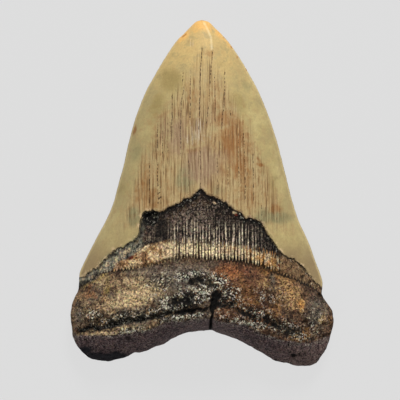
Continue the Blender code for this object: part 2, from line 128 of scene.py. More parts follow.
# %% Heights above the table, along the tooth: (Y, height)
RIM_HEIGHT = [
    (-63, 6.6), (-55, 7.4), (-46, 7.6), (-38, 6.4), (-33, 4.6), (-20, 3.9), (0, 3.4), (25, 3),
    (45, 2.6), (58, 2.3), (62.5, 2.3),
]  # fmt: skip
LINGUAL_MIDDLE = [
    (-40, 18), (-24, 20.5), (-12, 19.8), (0, 18.2), (14, 15.9), (28, 13.2), (40, 10.9), (50, 8.7),
    (56, 7), (60, 5.4), (61.9, 4.3), (62.7, 3.3), (63.1, 2.3),
]  # fmt: skip
LABIAL_MIDDLE = [
    (-40, 0.9), (-30, 0.7), (-15, 1.5), (5, 1.7), (22, 1.2), (36, 0.35), (46, -0.45), (54, 0.3),
    (59, 0.8), (61.9, 1.4), (62.7, 1.8), (63.1, 2.3),
]  # fmt: skip
RIDGE_HEIGHT, LOBE_HEIGHT = 26.5, 15.5  # the root's thick bar: at the middle, and at the lobes
print("the crown thins from", LINGUAL_MIDDLE[1][1], "mm at the neck to", LINGUAL_MIDDLE[-1][1])

# %% [markdown]
# ## Small tools for curves
#
# Everything below works on whole arrays. A curve is a dense polyline, a height is a function of two
# arrays x and y, and a line's distance from every vertex is found one stretch of the line at a time.

# %% Curves and distances
CURVE_SAMPLES = 60


def smooth_curve(points):
    """Dense points on a curve through every given one: on each stretch a cubic whose end slopes are
    those of the parabola through three neighbours, with steps as the root of the chord."""
    p = np.asarray(points, float)
    knots = np.concatenate([[0.0], np.cumsum(np.linalg.norm(np.diff(p, axis=0), axis=1) ** 0.5)])
    step = np.diff(knots)[:, None]
    slope = np.diff(p, axis=0) / step
    inner = (slope[:-1] * step[1:] + slope[1:] * step[:-1]) / (step[:-1] + step[1:])
    tangent = np.vstack([slope[:1], inner, slope[-1:]])
    t = np.linspace(0.0, 1.0, CURVE_SAMPLES, endpoint=False)[None, :, None]
    start, end = p[:-1, None], p[1:, None]
    leave, arrive = (tangent[:-1] * step)[:, None], (tangent[1:] * step)[:, None]
    body = (
        (2 * t**3 - 3 * t**2 + 1) * start + (t**3 - 2 * t**2 + t) * leave
        + (3 * t**2 - 2 * t**3) * end + (t**3 - t**2) * arrive
    )  # fmt: skip
    return np.vstack([body.reshape(-1, p.shape[1]), p[-1:]])


def at_shares(points, shares):
    """Points of the smooth curve at these shares of its length."""
    curve = smooth_curve(points)
    run = np.concatenate([[0.0], np.cumsum(np.linalg.norm(np.diff(curve, axis=0), axis=1))])
    return np.stack([np.interp(shares, run / run[-1], curve[:, k]) for k in (0, 1)], axis=-1)


def at_widths(points, shares):
    """Points of a curve that runs steadily across, at these shares of its width."""
    curve = smooth_curve(points)
    x = curve[0, 0] + (curve[-1, 0] - curve[0, 0]) * np.asarray(shares)
    return np.stack([x, np.interp(x, curve[:, 0], curve[:, 1])], axis=-1)


def read(knots, at):
    """The smooth curve through (position, value) knots, read at these positions."""
    curve = smooth_curve(knots)
    return np.interp(at, curve[:, 0], curve[:, 1])


def ease(x):
    """3x² - 2x³ between 0 and 1, and level outside."""
    x = np.clip(x, 0.0, 1.0)
    return x * x * (3 - 2 * x)


def distance_to(line, x, y):
    """Distance in plan from each point to a polyline: the least over its straight stretches."""
    line = np.asarray(line, float)
    nearest = np.full(np.shape(x), np.inf)
    for (ax, ay), (bx, by) in zip(line[:-1], line[1:]):
        run_x, run_y = bx - ax, by - ay
        length = run_x**2 + run_y**2
        if length > 0.0:
            share = np.clip(((x - ax) * run_x + (y - ay) * run_y) / length, 0.0, 1.0)
            away = (x - ax - share * run_x) ** 2 + (y - ay - share * run_y) ** 2
            nearest = np.minimum(nearest, away)
    return np.sqrt(nearest)


print("the arch of the root is", len(smooth_curve(BASAL_ARCH)), "points long")

# %% [markdown]
# ## The same height field as the solid
#
# The lingual face is a dome between the cutting edges, and a thick rounded bar at the root. Both are
# heights over (x, y). The two are blended across a few millimetres at the neck, so there is one
# smooth surface with a shallow waist. The labial face is nearly flat, and where it would sink below
# the table it is cut off level: those three places carry the tooth.

# %% Sizes of both faces, in millimetres, and shares of them
ROOT_RIM = np.vstack(
    [
        smooth_curve(LEFT_ROOT_SIDE[:-2])[::-20],
        smooth_curve(BASAL_ARCH)[::20],
        smooth_curve(RIGHT_ROOT_SIDE[:-2])[::20],
    ]
)
HALF_WIDTH = 47.0  # from the middle line to a lobe's outer side
RIDGE_SPREAD = 0.52  # share of the half width over which the root's bar falls off to the lobes
NECK_WAIST, WAIST_RUN = 0.24, 18.0  # share of the root's height lost at the neck, and over how far
ARCH_RUN, LOBE_RUN, SIDE_RUN, LABIAL_RUN = 6.5, 11.0, 8.0, 7.0  # how far in the root's rim is round
LINGUAL_SHARPNESS, LABIAL_SHARPNESS = 1.5, 1.9  # a higher one turns that rim more tightly
LINGUAL_DOME, LABIAL_DOME = (2.1, 0.85), (2.4, 0.8)  # exponents of the crown's cross-sections
LINGUAL_BLEND, LABIAL_BLEND = 4.2, 3.0  # width of the change from root to crown
LUMP_WAVES = [(27, 0.4, 0.6), (17, 1.3, 2.2), (11.5, 0.9, 4), (8, 0.1, 1.2)]  # length, turn, phase
LUMP_HEIGHT = 1.3  # if all the swells crested at one place
LABIAL_BAR, LABIAL_SWELL, SWELL_REACH = 1.5, 0.9, 13.0  # height of the root's labial face; its hump
LOBE_REST = [(-27, -45), (27.5, -46)]  # where each lobe's labial side meets the table
REST_DEPTH, REST_REACH = 1.95, 9.0
print("the root's rim is a line of", len(ROOT_RIM), "points")


# %% Shares and swells
def sides_at(y):
    """X of the left and of the right cutting edge, at each height on the crown."""
    left, right = smooth_curve(LEFT_CROWN_SIDE), smooth_curve(RIGHT_CROWN_SIDE)
    return np.interp(y, left[:, 1], left[:, 0]), np.interp(y, right[:, 1], right[:, 0])


def crown_share(x, y):
    """|x - middle| / half width: 0 on the crown's middle line, 1 on its cutting edges."""
    left, right = sides_at(y)
    return np.clip(np.abs(2 * x - left - right) / np.maximum(right - left, 0.01), 0.0, 1.0)


def rounding(distance, run, sharpness):
    """(1 - (1 - d / run)^sharpness)^0.8: 0 on the rim, 1 from the end of the run inwards."""
    return (1 - (1 - np.clip(distance / run, 0.0, 1.0)) ** sharpness) ** 0.8


def lumps(x, y):
    """Gentle swells of the root: egg-box waves turned to odd angles, longer ones higher."""
    swell = np.zeros_like(x)
    for length, angle, phase in LUMP_WAVES:
        along = x * np.cos(angle) + y * np.sin(angle)
        aside = y * np.cos(angle) - x * np.sin(angle)
        turn = 2 * np.pi / length
        swell += length * np.sin(turn * along + phase) * np.cos(0.8 * turn * aside - phase)
    return LUMP_HEIGHT * swell / sum(length for length, _, _ in LUMP_WAVES)


print("the crown is", np.round(np.diff(sides_at(0.0), axis=0)[0], 1), "mm wide at Y 0")


# %% Height of both faces
def lingual_height(x, y):
    """Rim + dome (1 - share^a)^b on the crown, a rounded bar on the root, eased at the neck."""
    rim = read(RIM_HEIGHT, y)
    flatness, fullness = LINGUAL_DOME
    crown = rim + (read(LINGUAL_MIDDLE, y) - rim) * (1 - crown_share(x, y) ** flatness) ** fullness
    across = np.abs(x) / HALF_WIDTH
    ridge = LOBE_HEIGHT + (RIDGE_HEIGHT - LOBE_HEIGHT) * np.exp(-((across / RIDGE_SPREAD) ** 2))
    from_neck = np.clip((read(NECK, x) - y) / WAIST_RUN, 0.0, 1.0)
    plateau = ridge - (NECK_WAIST * ridge) * (1 - from_neck) ** 2
    run = ARCH_RUN + (LOBE_RUN - ARCH_RUN) * ease((across - 0.1) / 0.5)
    run = run + (SIDE_RUN - run) * ease((y + 52.0) / 8.0) * ease((across - 0.7) / 0.2)
    share = rounding(distance_to(ROOT_RIM, x, y), run, LINGUAL_SHARPNESS)
    root = rim + (plateau + lumps(x, y) - rim) * share
    return root + (crown - root) * ease((y - read(NECK, x) + 2.6) / LINGUAL_BLEND)


def labial_height(x, y):
    """A shallow dome on the crown and a flat bar with two low lobes, cut off at the table."""
    rim = read(RIM_HEIGHT, y)
    flatness, fullness = LABIAL_DOME
    crown = rim + (read(LABIAL_MIDDLE, y) - rim) * (1 - crown_share(x, y) ** flatness) ** fullness
    plateau = LABIAL_BAR + LABIAL_SWELL * np.exp(-((x / SWELL_REACH) ** 2))
    for rest_x, rest_y in LOBE_REST:
        away = (x - rest_x) ** 2 + (y - rest_y) ** 2
        plateau = plateau - REST_DEPTH * np.exp(-away / REST_REACH**2)
    root = rim + (plateau - rim) * rounding(distance_to(ROOT_RIM, x, y), LABIAL_RUN, LABIAL_SHARPNESS)
    height = root + (crown - root) * ease((y - read(LABIAL_NECK, x) + 1.5) / LABIAL_BLEND)
    return np.maximum(height, 0.0)


print("the root is", lingual_height(0.0, -42.0).round(1), "mm thick below the neck")

# %% [markdown]
# ## Noise for relief
#
# Nature's roughness has no pattern, but it has a scale. Value noise gives both: random numbers on a
# lattice, eased between its points. The lattice step is the size of the grain in millimetres, and
# may differ in x and y, which turns grains into streaks.

# %% Lattice noise
LATTICE = 256  # points to a side, after which it repeats
LATTICE_PLACE = (517.0, 491.0)  # lattice steps from its corner to the tooth's origin


def noise(x, y, step_x, step_y, seed):
    """-1..1: random values on a lattice of step_x by step_y millimetres, eased between its points."""
    u, v = x / step_x + LATTICE_PLACE[0], y / step_y + LATTICE_PLACE[1]
    column, row = np.floor(u).astype(int), np.floor(v).astype(int)
    table = np.random.default_rng(seed).uniform(-1.0, 1.0, (LATTICE, LATTICE))
    along, up = ease(u - column), ease(v - row)
    corner = [table[(row + j) % LATTICE, (column + i) % LATTICE] for j in (0, 1) for i in (0, 1)]
    below = corner[0] + (corner[1] - corner[0]) * along
    above = corner[2] + (corner[3] - corner[2]) * along
    return below + (above - below) * up


def rough(x, y, step, seed):
    """Three octaves of noise, each half as large and half as strong as the last."""
    return sum(noise(x, y, step / 2**k, step / 2**k, seed + k) / 2**k for k in range(3)) / 1.75


steps = np.arange(99.0)
print("noise at 99 places reaches", noise(steps, steps, 1, 1, 4).max().round(1))

# %% [markdown]
# ## Two grids that share the rim
#
# Rows run from the basal arch to the tip, columns across. From the arch to the enamel's edge the
# columns stand about 0.3 mm apart, because root and bourlette are rough. The crown is smooth, so a
# little above the edge every second column ends, and the flat labial face has fewer still. Where a
# fine row meets a coarse one, three triangles fill each coarse cell.

# %% Rows and columns
FINE = 280  # columns of the lingual root
ROOT_ROWS, CROWN_ROWS = 150, 186
ROOT_CHIPS, CROWN_CHIPS = (0.22, 1.7), (0.08, 0.7)  # depth and length of the chips along the rim
STEPS_FADE = 0.07  # share of the crown over which the enamel edge's small steps fade out
# Above the deep notch in the enamel's edge the rows swing out and up, so that hardly a cell folds over.
SWING_AT, SWING_WIDTH, SWING = 0.284, 0.092, (-2.5, 1.5)


def column_shares(count):
    """Shares of the width, a little closer at the rim: 0.75 u + 0.25 (1 - cos(pi u)) / 2."""
    u = np.linspace(0.0, 1.0, count + 1)
    return 0.75 * u + 0.125 * (1 - np.cos(np.pi * u))


def levelled(arch):
    """The arch without its small steps: a bell-shaped running mean over neighbouring columns."""
    wide = len(arch) // 9
    padded = np.pad(arch, ((wide, wide), (0, 0)), mode="reflect", reflect_type="odd")
    window = np.hanning(2 * wide + 3)[1:-1]
    return np.stack([np.convolve(padded[:, k], window / window.sum(), "valid") for k in (0, 1)], 1)


def chipped(line, way, depth, length):
    """A stretch of the rim, pushed along one direction by noise. Its two ends stay where they are."""
    share = np.linspace(0.0, 1.0, len(line))
    stay = ease(np.minimum(share, 1 - share) / 0.06)
    push = depth * stay * rough(line[:, 0] + 40.0, line[:, 1], length, 21)
    return line + push[:, None] * np.array(way)


def plan_grid(enamel_line, columns, root_rows, crown_rows):
    """Rows of (x, y). Root: the blend of four sides less the blend of the corners. Crown: straight
    rows plus the enamel's arch, whose small steps fade in the first millimetres."""
    s, t = columns[None, :, None], root_rows[:, None, None]
    bottom = chipped(at_widths(BASAL_ARCH, columns), (0.0, 1.0), *ROOT_CHIPS)
    left = chipped(at_shares(LEFT_ROOT_SIDE, root_rows), (1.0, 0.0), *ROOT_CHIPS)
    right = chipped(at_shares(RIGHT_ROOT_SIDE, root_rows), (1.0, 0.0), *ROOT_CHIPS)
    across = (1 - s) * left[:, None] + s * right[:, None]
    up = (1 - t) * bottom[None] + t * enamel_line[None]
    ends = (1 - t) * ((1 - s) * bottom[0] + s * bottom[-1])
    root = across + up - ends - t * ((1 - s) * enamel_line[0] + s * enamel_line[-1])
    chord = columns[:, None]
    arch = enamel_line - ((1 - chord) * enamel_line[0] + chord * enamel_line[-1])
    swing = np.exp(-(((columns - SWING_AT) / SWING_WIDTH) ** 2))[:, None] * np.array(SWING)
    hill, t = levelled(arch) + swing, crown_rows[:, None, None]
    left = chipped(at_shares(LEFT_CROWN_SIDE, crown_rows), (1.0, 0.0), *CROWN_CHIPS)
    right = chipped(at_shares(RIGHT_CROWN_SIDE, crown_rows), (1.0, 0.0), *CROWN_CHIPS)
    crown = (1 - s) * left[:, None] + s * right[:, None]
    crown = crown + (1 - t) ** 2 * hill + np.exp(-t / STEPS_FADE) * (arch - hill)
    return root, crown


columns = column_shares(FINE)
gaps = (high - low)[0] * np.diff(columns)
print("columns stand", gaps.min().round(2), "to", gaps.max().round(2), "mm apart")

# %% The plan of each face
ENAMEL_STEPS = [(3.1, 0.5, 2), (1.4, 0.45, 3), (0.6, 0.4, 9)]  # length, depth, seed of the edge's steps
rows = np.linspace(0.0, 1.0, ROOT_ROWS)
root_rows = (0.6 * rows + 0.4 * rows**2)[:-1]
CROWN_START = [
    0, 0.0012, 0.0024, 0.004, 0.007, 0.011, 0.015, 0.019, 0.024, 0.029, 0.034, 0.039, 0.0445, 0.05,
]  # fmt: skip
crown_rows = np.concatenate([CROWN_START, np.linspace(0.0555, 0.982, CROWN_ROWS)])
enamel_line = at_shares(ENAMEL_EDGE, columns)
fade = ease(np.minimum(columns, 1 - columns) / 0.03)
for length, depth, seed in ENAMEL_STEPS:
    enamel_line[:, 1] += depth * fade * noise(enamel_line[:, 0], 0 * columns, length, 1.0, seed)
plan = np.concatenate(plan_grid(enamel_line, columns, root_rows, crown_rows))
first_crown = len(root_rows)  # the row that is the enamel's edge
last_fine = first_crown + len(CROWN_START)  # rows from here on keep every second column
half = columns[::2]
labial_plan = np.concatenate(plan_grid(at_shares(LABIAL_ENAMEL, half), half, root_rows, crown_rows))
x, y = plan[..., 0], plan[..., 1]
row = np.broadcast_to(np.arange(len(plan))[:, None], x.shape)
print(len(plan), "rows;", FINE, "columns below row", last_fine, "and", FINE // 2, "above")

# %% [markdown]
# ## Damage and relief
#
# A fossil tooth is read by its damage. The root has split up the middle, from the arch to a hollow
# where the nutrient vessel went in. A furrow runs along each lobe above the basal face. A round flake
# of enamel has sprung off on the left. The crown shows long drying cracks, and the bourlette the
# vertical ribs of the tissue below the lost enamel. All of these are lines or spots on the plan, so
# one depth array adds them up, and the surface moves along its normals by that depth.

# %% Where the damage is
SPLIT = [(3.3, -50), (3.2, -47.5), (3.6, -44), (4, -40.5), (4.6, -37.6)]
FURROW_LEFT = [
    (-44, -49.6), (-42, -48.7), (-39.7, -48), (-36.8, -48.4), (-33.2, -47.3), (-28, -45.7),
    (-23.4, -45.3), (-18.7, -44.5), (-15.8, -43.8), (-11.4, -42.4), (-7.8, -42), (-4.2, -41.7),
    (2, -40.6),
]  # fmt: skip
FURROW_RIGHT = [
    (5, -39), (10.3, -40.6), (14, -41.6), (17.6, -43.3), (23, -45.4), (28, -48), (36.5, -49),
]  # fmt: skip
SPLIT_DEPTH = 2.6
FURROWS = [(FURROW_LEFT, 1.5, 0.75), (FURROW_RIGHT, 0.9, 1.0)]  # line, depth, width
HOLLOWS = [  # x, y, radius, depth
    (5.2, -35.9, 1.9, 2.4), (4.2, -38.2, 1.3, 2), (-0.6, -30.4, 1.6, 1.3), (-3.6, -31.2, 1.7, 1.1),
    (33, -58.5, 1.2, 0.9), (-9.5, -38.5, 1.9, 0.9), (-4.5, -37.5, 1.6, 0.8), (10.5, -39.5, 1.6, 0.8),
    (-26.3, -51.8, 0.8, 0.7), (-41.9, -52.8, 0.8, 0.6), (41.9, -42, 0.9, 0.7), (27.2, -60.4, 0.9, 0.6),
    (19, -44.9, 1.3, 0.8), (-37, -46.9, 1.4, 0.7), (25, -28.9, 1.3, 0.5), (35, -58, 1, 0.6),
]  # fmt: skip
CHIP = (-18.4, -8.9, 2.9, 1.6)  # the sprung flake: x, y, radius, depth
CRACKS = [  # strength, then points from the top down
    (0.8, [(0.2, 53), (0, 48.5), (-0.5, 41), (-0.7, 32.5), (-0.9, 22.5)]),
    (0.72, [(4.1, 52), (3.5, 46), (3, 38), (2.5, 30.5), (1.8, 25)]),
    (0.7, [(8.5, 44.5), (8.3, 36.5), (7.9, 31), (7.1, 23.5)]), (0.7, [(-4, 44.5), (-4, 27)]),
    (0.5, [(-6.7, 43.5), (-6.8, 40.5)]), (0.8, [(-6.2, 38), (-7.3, 33), (-7.4, 14.5)]),
    (0.7, [(-10.5, 36), (-10.5, 27), (-10.4, 20)]), (0.5, [(4.8, 42), (4.8, 24.5)]),
    (0.5, [(10.1, 33.5), (10.3, 28)]), (0.6, [(-13.8, 23), (-13.8, 13.5)]),
    (0.8, [(-15.6, 24.5), (-15.6, 15.5)]), (0.8, [(-15.6, 10.5), (-15.4, -4)]),
    (0.7, [(-18.4, 10.5), (-18.5, -4.5)]), (0.5, [(-14.2, 3.8), (-14.2, -3.8)]),
    (0.4, [(-11.9, 25), (-11.9, 10)]), (0.5, [(13, 25), (13.2, -1.5)]),
    (0.7, [(15, 21.5), (15.3, 11.5), (15.5, -2)]), (0.6, [(18.4, 14), (18.5, -2.5)]),
    (0.4, [(21.2, 4), (21.3, -8)]), (0.5, [(-0.5, 15), (-0.3, 1.5)]), (0.5, [(5.6, 12), (5.8, 0)]),
    (0.4, [(9.3, 14), (9.4, -4)]), (0.4, [(-4.6, 12), (-4.6, -1)]), (1.4, [(-0.6, 3.2), (-0.5, 0)]),
]  # fmt: skip
print(len(HOLLOWS), "hollows and", len(CRACKS), "cracks")


# %% Cracks and soft spots as functions of the plan
def nearest_crack(x, y, cracks):
    """Signed sideways distance to the nearest crack, and its strength. A crack that has ended counts
    as further away, so that it thins out instead of stopping square."""
    signed, strength = np.full_like(x, 9.0), np.zeros_like(x)  # 9 mm: further than a test looks
    for gain, points in cracks:
        high_to_low = np.array(points, float)
        ys, xs = high_to_low[::-1, 1], high_to_low[::-1, 0]
        own_seed = int(abs(xs[0]) * 10)
        wobble = 0.1 * noise(y, 0 * y, 2.5, 1.0, own_seed) + 0.06 * noise(y, 0 * y, 0.6, 1.0, 7)
        aside = x - np.interp(y, ys, xs) - wobble
        beyond = np.maximum(np.maximum(ys[0] - y, y - ys[-1]), 0.0)
        closer = np.abs(aside) + beyond < np.abs(signed)
        away = np.sign(aside) * (np.abs(aside) + beyond)
        signed = np.where(closer, np.where(away == 0, 1e-6, away), signed)
        strength = np.where(closer, gain, strength)
    return signed, strength


def spots(x, y, marks):
    """The strongest of some soft ellipses: strength * exp(-(u² + v²)), u and v along their axes. The
    plan is first shaken by noise, so that no ellipse keeps its outline."""
    weight = np.zeros_like(x)
    x, y = x + 1.1 * rough(x, y, 3.4, 101), y + 1.1 * rough(x, y, 3.4, 111)
    for centre_x, centre_y, radius_x, radius_y, turn, strength in marks:
        angle = np.radians(turn)
        u = ((x - centre_x) * np.cos(angle) + (y - centre_y) * np.sin(angle)) / radius_x
        v = ((y - centre_y) * np.cos(angle) - (x - centre_x) * np.sin(angle)) / radius_y
        weight = np.maximum(weight, strength * np.exp(-(u**2) - v**2))
    return weight


on_crack = np.abs(nearest_crack(x, y, CRACKS)[0]) < 0.2
print(on_crack.sum(), "vertices lie on a crack")


# %% Depth of the damage
def hollowness(x, y):
    """Depth in millimetres of everything that is cut into the lingual face below the enamel."""
    ragged = rough(x, y, 1.1, 31)
    x, y = x + 0.55 * rough(x, y, 1.7, 121), y + 0.55 * rough(x, y, 1.7, 131)
    split = distance_to(SPLIT, x, y) + 0.2 * ragged
    gape = 0.05 + 0.9 * ease((y + 43.5) / 5.0)  # half of it: shut at the arch, open in the hollow above
    depth = SPLIT_DEPTH * np.exp(-((np.maximum(split - gape, 0.0) / 0.32) ** 2))
    for line, deepest, width in FURROWS:
        swell = np.clip(0.8 + 0.75 * rough(x, y, 5.0, 44), 0.2, 1.3)  # deep here, nearly gone there
        away = (distance_to(line, x, y) + 0.5 * ragged) / (width * (0.5 + 0.8 * swell))
        depth = np.maximum(depth, deepest * swell * np.exp(-(away**2)))
    for pit_x, pit_y, radius, deepest in HOLLOWS:
        away = (np.hypot(x - pit_x, y - pit_y) + 0.4 * ragged) / radius
        depth = np.maximum(depth, deepest * ease(1.25 - away))
    chip_x, chip_y, radius, deepest = CHIP
    away = (np.hypot(x - chip_x, y - chip_y) + 0.15 * ragged) / radius
    return np.maximum(depth, deepest * ease((1.1 - away) / 0.35))


print("deepest cut:", hollowness(x, y)[:first_crown].max().round(2), "mm")

# %% The fine relief: how far each feature stands out or cuts in, in millimetres
ENAMEL_STEP, RIB_HEIGHT, LEDGE_HEIGHT = 0.5, 0.2, 0.35
COARSE_GRAIN, FINE_GRAIN, PORE_DEPTH = 0.65, 0.4, 0.6
GROOVE_DEPTH, CRACK_DEPTH, CROWN_SWELL = 0.45, 0.14, 0.05
LABIAL_GRAIN, LABIAL_SINK, LABIAL_GROOVE = 0.22, 0.2, 0.3


def lingual_relief(x, y, row):
    """Millimetres outwards: the enamel's step, the ribs of the bourlette, the grain of the root,
    less the damage."""
    below, above_neck = row <= first_crown, y - read(NECK, x)
    inner = ease((1 - crown_share(x, y)) / 0.12)
    step = ENAMEL_STEP * ease((row - first_crown) / 2.0) * inner * (1 - ease((y - 20.0) / 30.0))
    ribs = np.abs(noise(x, y, 0.62, 11.0, 12)) - 0.4
    band = below * ease((above_neck + 1.0) / 1.5) * ease((22.0 - np.abs(x)) / 6.0 + 1.0)
    on_root = ease((-above_neck + 0.4) / 1.2)
    above_base = y - read(BASAL_EDGE, x)
    calm = 0.35 + 0.65 * ease((above_base + 0.8) / 1.2)
    grain = COARSE_GRAIN * rough(x, y, 3.6, 51) + FINE_GRAIN * rough(x, y, 1.2, 61)
    pores = -PORE_DEPTH * ease((noise(x, y, 1.1, 1.1, 71) - 0.45) / 0.3)
    ledge = LEDGE_HEIGHT * np.exp(-(((above_base - 0.9) / 0.9) ** 2)) * ease((40 - np.abs(x)) / 6)
    groove = -GROOVE_DEPTH * np.exp(-(((above_neck - 0.2 * noise(x, y, 0.7, 9.0, 13)) / 0.9) ** 2))
    crack, strength = nearest_crack(x, y, CRACKS)
    cracked = -CRACK_DEPTH * strength * np.exp(-((crack / 0.22) ** 2))
    crown = ~below * (cracked + CROWN_SWELL * rough(x, y, 7.0, 81))
    rest = step + RIB_HEIGHT * ribs * band + on_root * (calm * (grain + pores) + ledge) + groove + crown
    return rest - hollowness(x, y) * below


def labial_relief(x, y):
    """Millimetres outwards: the grain of the root less the groove along the neck."""
    above_neck = y - read(LABIAL_NECK, x)
    on_root = ease((-above_neck + 0.5) / 2.0)
    grain = on_root * (LABIAL_GRAIN * rough(x, y, 3.0, 91) - LABIAL_SINK)
    return grain - LABIAL_GROOVE * np.exp(-(above_neck**2)) - 0.05


relief = lingual_relief(x, y, row)
print("relief from", relief.min().round(2), "to", relief.max().round(2), "mm")

# %% [markdown]
# ## Lifting the grids into one closed skin
#
# The lingual grid is lifted to its height, and then moved along its normals by the relief. The
# normal is the cross product of the steps to the neighbours in the row and in the column. The rim is
# left where it is, because both faces share it.

# %% Vertices
def lifted(plan, height):
    """(x, y) rows with their height as a third number, level with the rim on all sides."""
    rim = read(RIM_HEIGHT, plan[..., 1])
    height = height.copy()
    height[0], height[:, 0], height[:, -1] = rim[0], rim[:, 0], rim[:, -1]
    return np.dstack([plan, height])


def moved(grid, relief):
    """The grid moved along its normals, all but its rim. Relief fades out in the first 0.6 mm."""
    normal = np.cross(np.gradient(grid, axis=1), np.gradient(grid, axis=0))
    normal /= np.linalg.norm(normal, axis=-1, keepdims=True)
    relief = relief.copy()
    relief[0], relief[:, 0], relief[:, -1] = 0.0, 0.0, 0.0
    for margin in (1, 2):
        relief[:, [margin, -1 - margin]] *= margin / 3
        relief[margin] *= margin / 3
    return grid + normal * relief[..., None]


lingual = moved(lifted(plan, lingual_height(x, y)), relief)
labial_x, labial_y = labial_plan[..., 0], labial_plan[..., 1]
labial = lifted(labial_plan, labial_height(labial_x, labial_y))
RESTING = 0.15  # below this height the labial face rests on the table, and stays smooth
labial = moved(labial, -np.where(labial[..., 2] < RESTING, 0.0, labial_relief(labial_x, labial_y)))
labial[..., 2] = np.maximum(labial[..., 2], 0.0)
print("lingual face reaches", lingual[..., 2].max().round(1), "mm above the table")

# %% Faces
LABIAL_FINE_ROWS = 5  # rows of the labial face that keep 140 columns next to the basal arch


def cells(ids):
    """Quads between the rows of a block of vertex numbers."""
    return np.stack([ids[:-1, :-1], ids[:-1, 1:], ids[1:, 1:], ids[1:, :-1]], -1).reshape(-1, 4)


def stitched(fine_row, coarse_row):
    """Three triangles for each pair of fine cells below one coarse cell."""
    near, middle, far = fine_row[:-1:2], fine_row[1::2], fine_row[2::2]
    left, right = coarse_row[:-1], coarse_row[1:]
    sets = [(near, middle, left), (middle, right, left), (middle, far, right)]
    return np.concatenate([np.stack(triple, -1) for triple in sets])


def fan(end_row, point):
    """Triangles from a row to one point above it."""
    return np.stack([end_row[:-1], end_row[1:], np.full(len(end_row) - 1, point)], -1)


up_ids = np.arange(plan[..., 0].size).reshape(plan.shape[:2])
down_ids = up_ids.max() + 1 + np.arange(labial_plan[..., 0].size).reshape(labial_plan.shape[:2])
down_ids[:, 0], down_ids[:, -1] = up_ids[:, 0], up_ids[:, -1]
tip_id = up_ids.size + labial_plan[..., 0].size
quads = [
    cells(up_ids[:last_fine]),
    cells(up_ids[last_fine:, ::2]),
    cells(down_ids[1:LABIAL_FINE_ROWS])[:, ::-1],
    cells(down_ids[LABIAL_FINE_ROWS:, ::2])[:, ::-1],
]
triangles = [
    stitched(up_ids[last_fine - 1], up_ids[last_fine, ::2]),
    fan(up_ids[-1, ::2], tip_id),
    stitched(up_ids[0], down_ids[1])[:, ::-1],
    stitched(down_ids[LABIAL_FINE_ROWS - 1], down_ids[LABIAL_FINE_ROWS, ::2])[:, ::-1],
    fan(down_ids[-1, ::2], tip_id)[:, ::-1],
]
# The last cell of the first row starts at another corner, or its diagonal would cut the rim short.
quads[0][FINE - 1] = np.roll(quads[0][FINE - 1], 1)
quads, triangles = np.concatenate(quads), np.concatenate(triangles)
tip_point = [TIP[0], TIP[1], RIM_HEIGHT[-1][1]]
points = np.concatenate([lingual.reshape(-1, 3), labial.reshape(-1, 3), [tip_point]])
used = np.unique(np.concatenate([quads.ravel(), triangles.ravel()]))
new_number = np.full(len(points), -1)
new_number[used] = np.arange(len(used))
quads, triangles = new_number[quads], new_number[triangles]
print(len(used), "vertices,", 2 * len(quads) + len(triangles), "triangles")
